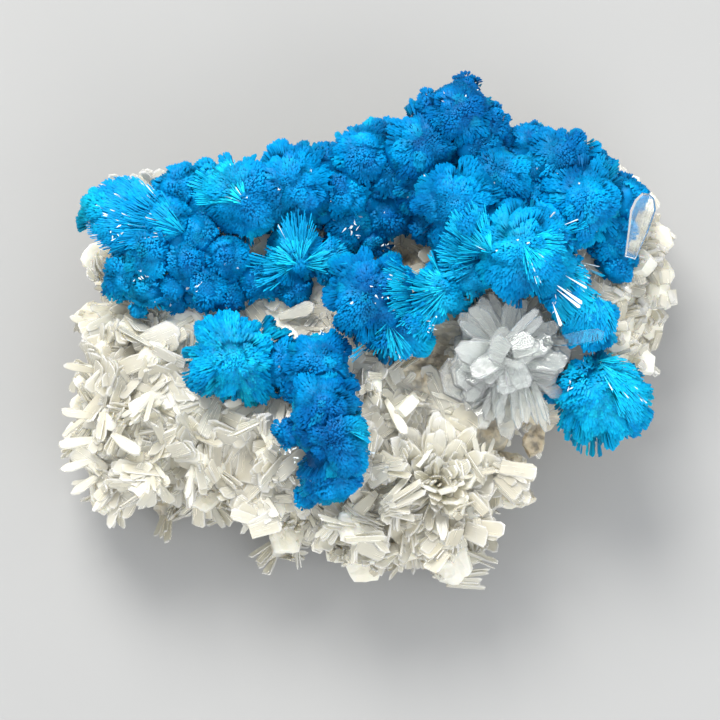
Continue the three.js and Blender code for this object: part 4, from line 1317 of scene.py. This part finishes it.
VIEW_TARGET = (-1.14, -3.2, 15.0)  # what the camera looks at
VIEW_TILT = 10  # degrees off straight down
VIEW_DISTANCE = 320
VIEW_WIDTH = 80  # what the frame takes in at the target
SENSOR = 36
FLOOR_SIZE = 1600
FLOOR_DROP = 0.05  # keeps the floor out of the plane of the rock's base
LIGHT_BOUNCES = 28  # enough to see through a stack of clear plates
SKY, SKY_STRENGTH = (0.95, 0.97, 1.0), 0.95
# Place, width, strength in watts, colour.
LIGHTS = [
    ((-110, 260, 380), 220, 2.3, (1.0, 0.985, 0.955)),
    ((160, -240, 260), 320, 0.7, (0.95, 0.97, 1.0)),
]


def make_stage():
    half = FLOOR_SIZE / 2
    corners = [(-half, -half), (half, -half), (half, half), (-half, half)]
    points = np.array([(x, y, -FLOOR_DROP) for x, y in corners])
    floor = new_object("studio_floor", points, np.array([(0, 1, 2), (0, 2, 3)]), {})
    floor.data.materials.append(floor_material())
    for number, (place, width, strength, colour) in enumerate(LIGHTS):
        data = bpy.data.lights.new(f"softbox_{number}", "AREA")
        data.size = width * MM
        data.energy = strength
        data.color = colour
        lamp = linked_object(data.name, data)
        lamp.location = Vector(place) * MM
        lamp.rotation_euler = (Vector(VIEW_TARGET) - Vector(place)).to_track_quat("-Z", "Y").to_euler()
    scene = bpy.context.scene
    scene.world = bpy.data.worlds.new("studio")
    scene.world.use_nodes = True
    sky = scene.world.node_tree.nodes["Background"]
    sky.inputs["Color"].default_value = (*SKY, 1)
    sky.inputs["Strength"].default_value = SKY_STRENGTH
    scene.view_settings.view_transform = "Standard"
    scene.cycles.max_bounces = LIGHT_BOUNCES
    scene.cycles.transmission_bounces = LIGHT_BOUNCES
    scene.cycles.glossy_bounces = LIGHT_BOUNCES
    scene.cycles.diffuse_bounces = LIGHT_BOUNCES // 2


def make_camera():
    data = bpy.data.cameras.new("camera")
    data.sensor_width = SENSOR
    data.lens = SENSOR * VIEW_DISTANCE / VIEW_WIDTH
    data.clip_start = 0.01
    camera = linked_object("camera", data)
    tilt = math.radians(VIEW_TILT)
    back = Vector((0, -math.sin(tilt), math.cos(tilt)))
    camera.location = (Vector(VIEW_TARGET) + back * VIEW_DISTANCE) * MM
    camera.rotation_euler = (tilt, 0, 0)
    bpy.context.scene.camera = camera


# ---------------------------------------------------------------- the specimen


def make_cavansite(rock):
    """All the blue pieces. Returns the balls of their rosettes."""
    balls, open_balls = (sum((piece[column] for piece in CAVANSITE_PIECES), []) for column in (2, 3))
    all_balls = balls + [ball for ball, _ in open_balls]
    blue = cavansite_material()
    for number, piece in enumerate(CAVANSITE_PIECES):
        cavansite_piece(piece, all_balls, rock, CAVANSITE_SEED + number, blue)
    return all_balls


def make_stilbite(node, balls):
    blades = stilbite_blade_material()
    west, east = stilbite_sheaves(node, balls, STILBITE_SEED)
    dress(new_object("stilbite_blades_west", *west), "stilbite_matrix", blades)
    dress(new_object("stilbite_blades_east", *east), "stilbite_matrix", blades)
    rough_rock(node, balls, rock_material())


def make_clear_stilbite():
    rng = np.random.default_rng(CLEAR_SEED)
    sheaf = joined([
        spoke_stacks(BLUNT_OUTLINE, SHEAF_MIDDLE, SHEAF_SPOKES, SHEAF_THICK, SHEAF_ROLL, rng),
        placed_stacks(BLUNT_OUTLINE, SHEAF_PLATES, PLACED_ROLL, rng),
        placed_stacks(POINTED_OUTLINE, SHEAF_POINTS, PLACED_ROLL, rng),
    ])
    heart = crown_stacks(BLUNT_OUTLINE, SHEAF_MIDDLE, SHEAF_HEART, HEART_THICK, HEART_ROLL, rng)
    overhang = placed_plates([OVERHANG_BLADE], rng)
    blade = placed_plates([CLEAR_BLADE], rng)
    glass = clear_material("clear_stilbite_glass", POLISH, GLASS_CLARITY)
    glassy = clear_material("glassy_stilbite", POLISH, SHEAF_CLARITY)
    milky = clear_material("milky_stilbite", HEART_POLISH, HEART_CLARITY)
    rows = [
        ("glassy_sheaf", sheaf, "stilbite_sheaf", glassy),
        ("sheaf_heart", heart, "stilbite_sheaf", milky),
        ("overhang_blade", overhang, "stilbite_sheaf", glass),
        ("clear_blade", blade, "clear_stilbite_blade", glass),
    ]
    for name, shape, node, material in rows:
        dress(new_object(name, *shape), node, material)


def rock_tree(node):
    mesh = node.data
    mesh.calc_loop_triangles()
    return BVHTree.FromPolygons(
        [vertex.co for vertex in mesh.vertices],
        [triangle.vertices for triangle in mesh.loop_triangles],
    )


make_camera()
make_stage()
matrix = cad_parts["stilbite_matrix"]
rosette_balls = make_cavansite(rock_tree(matrix))
make_stilbite(matrix, rosette_balls)
make_clear_stilbite()

bpy.context.view_layer.update()
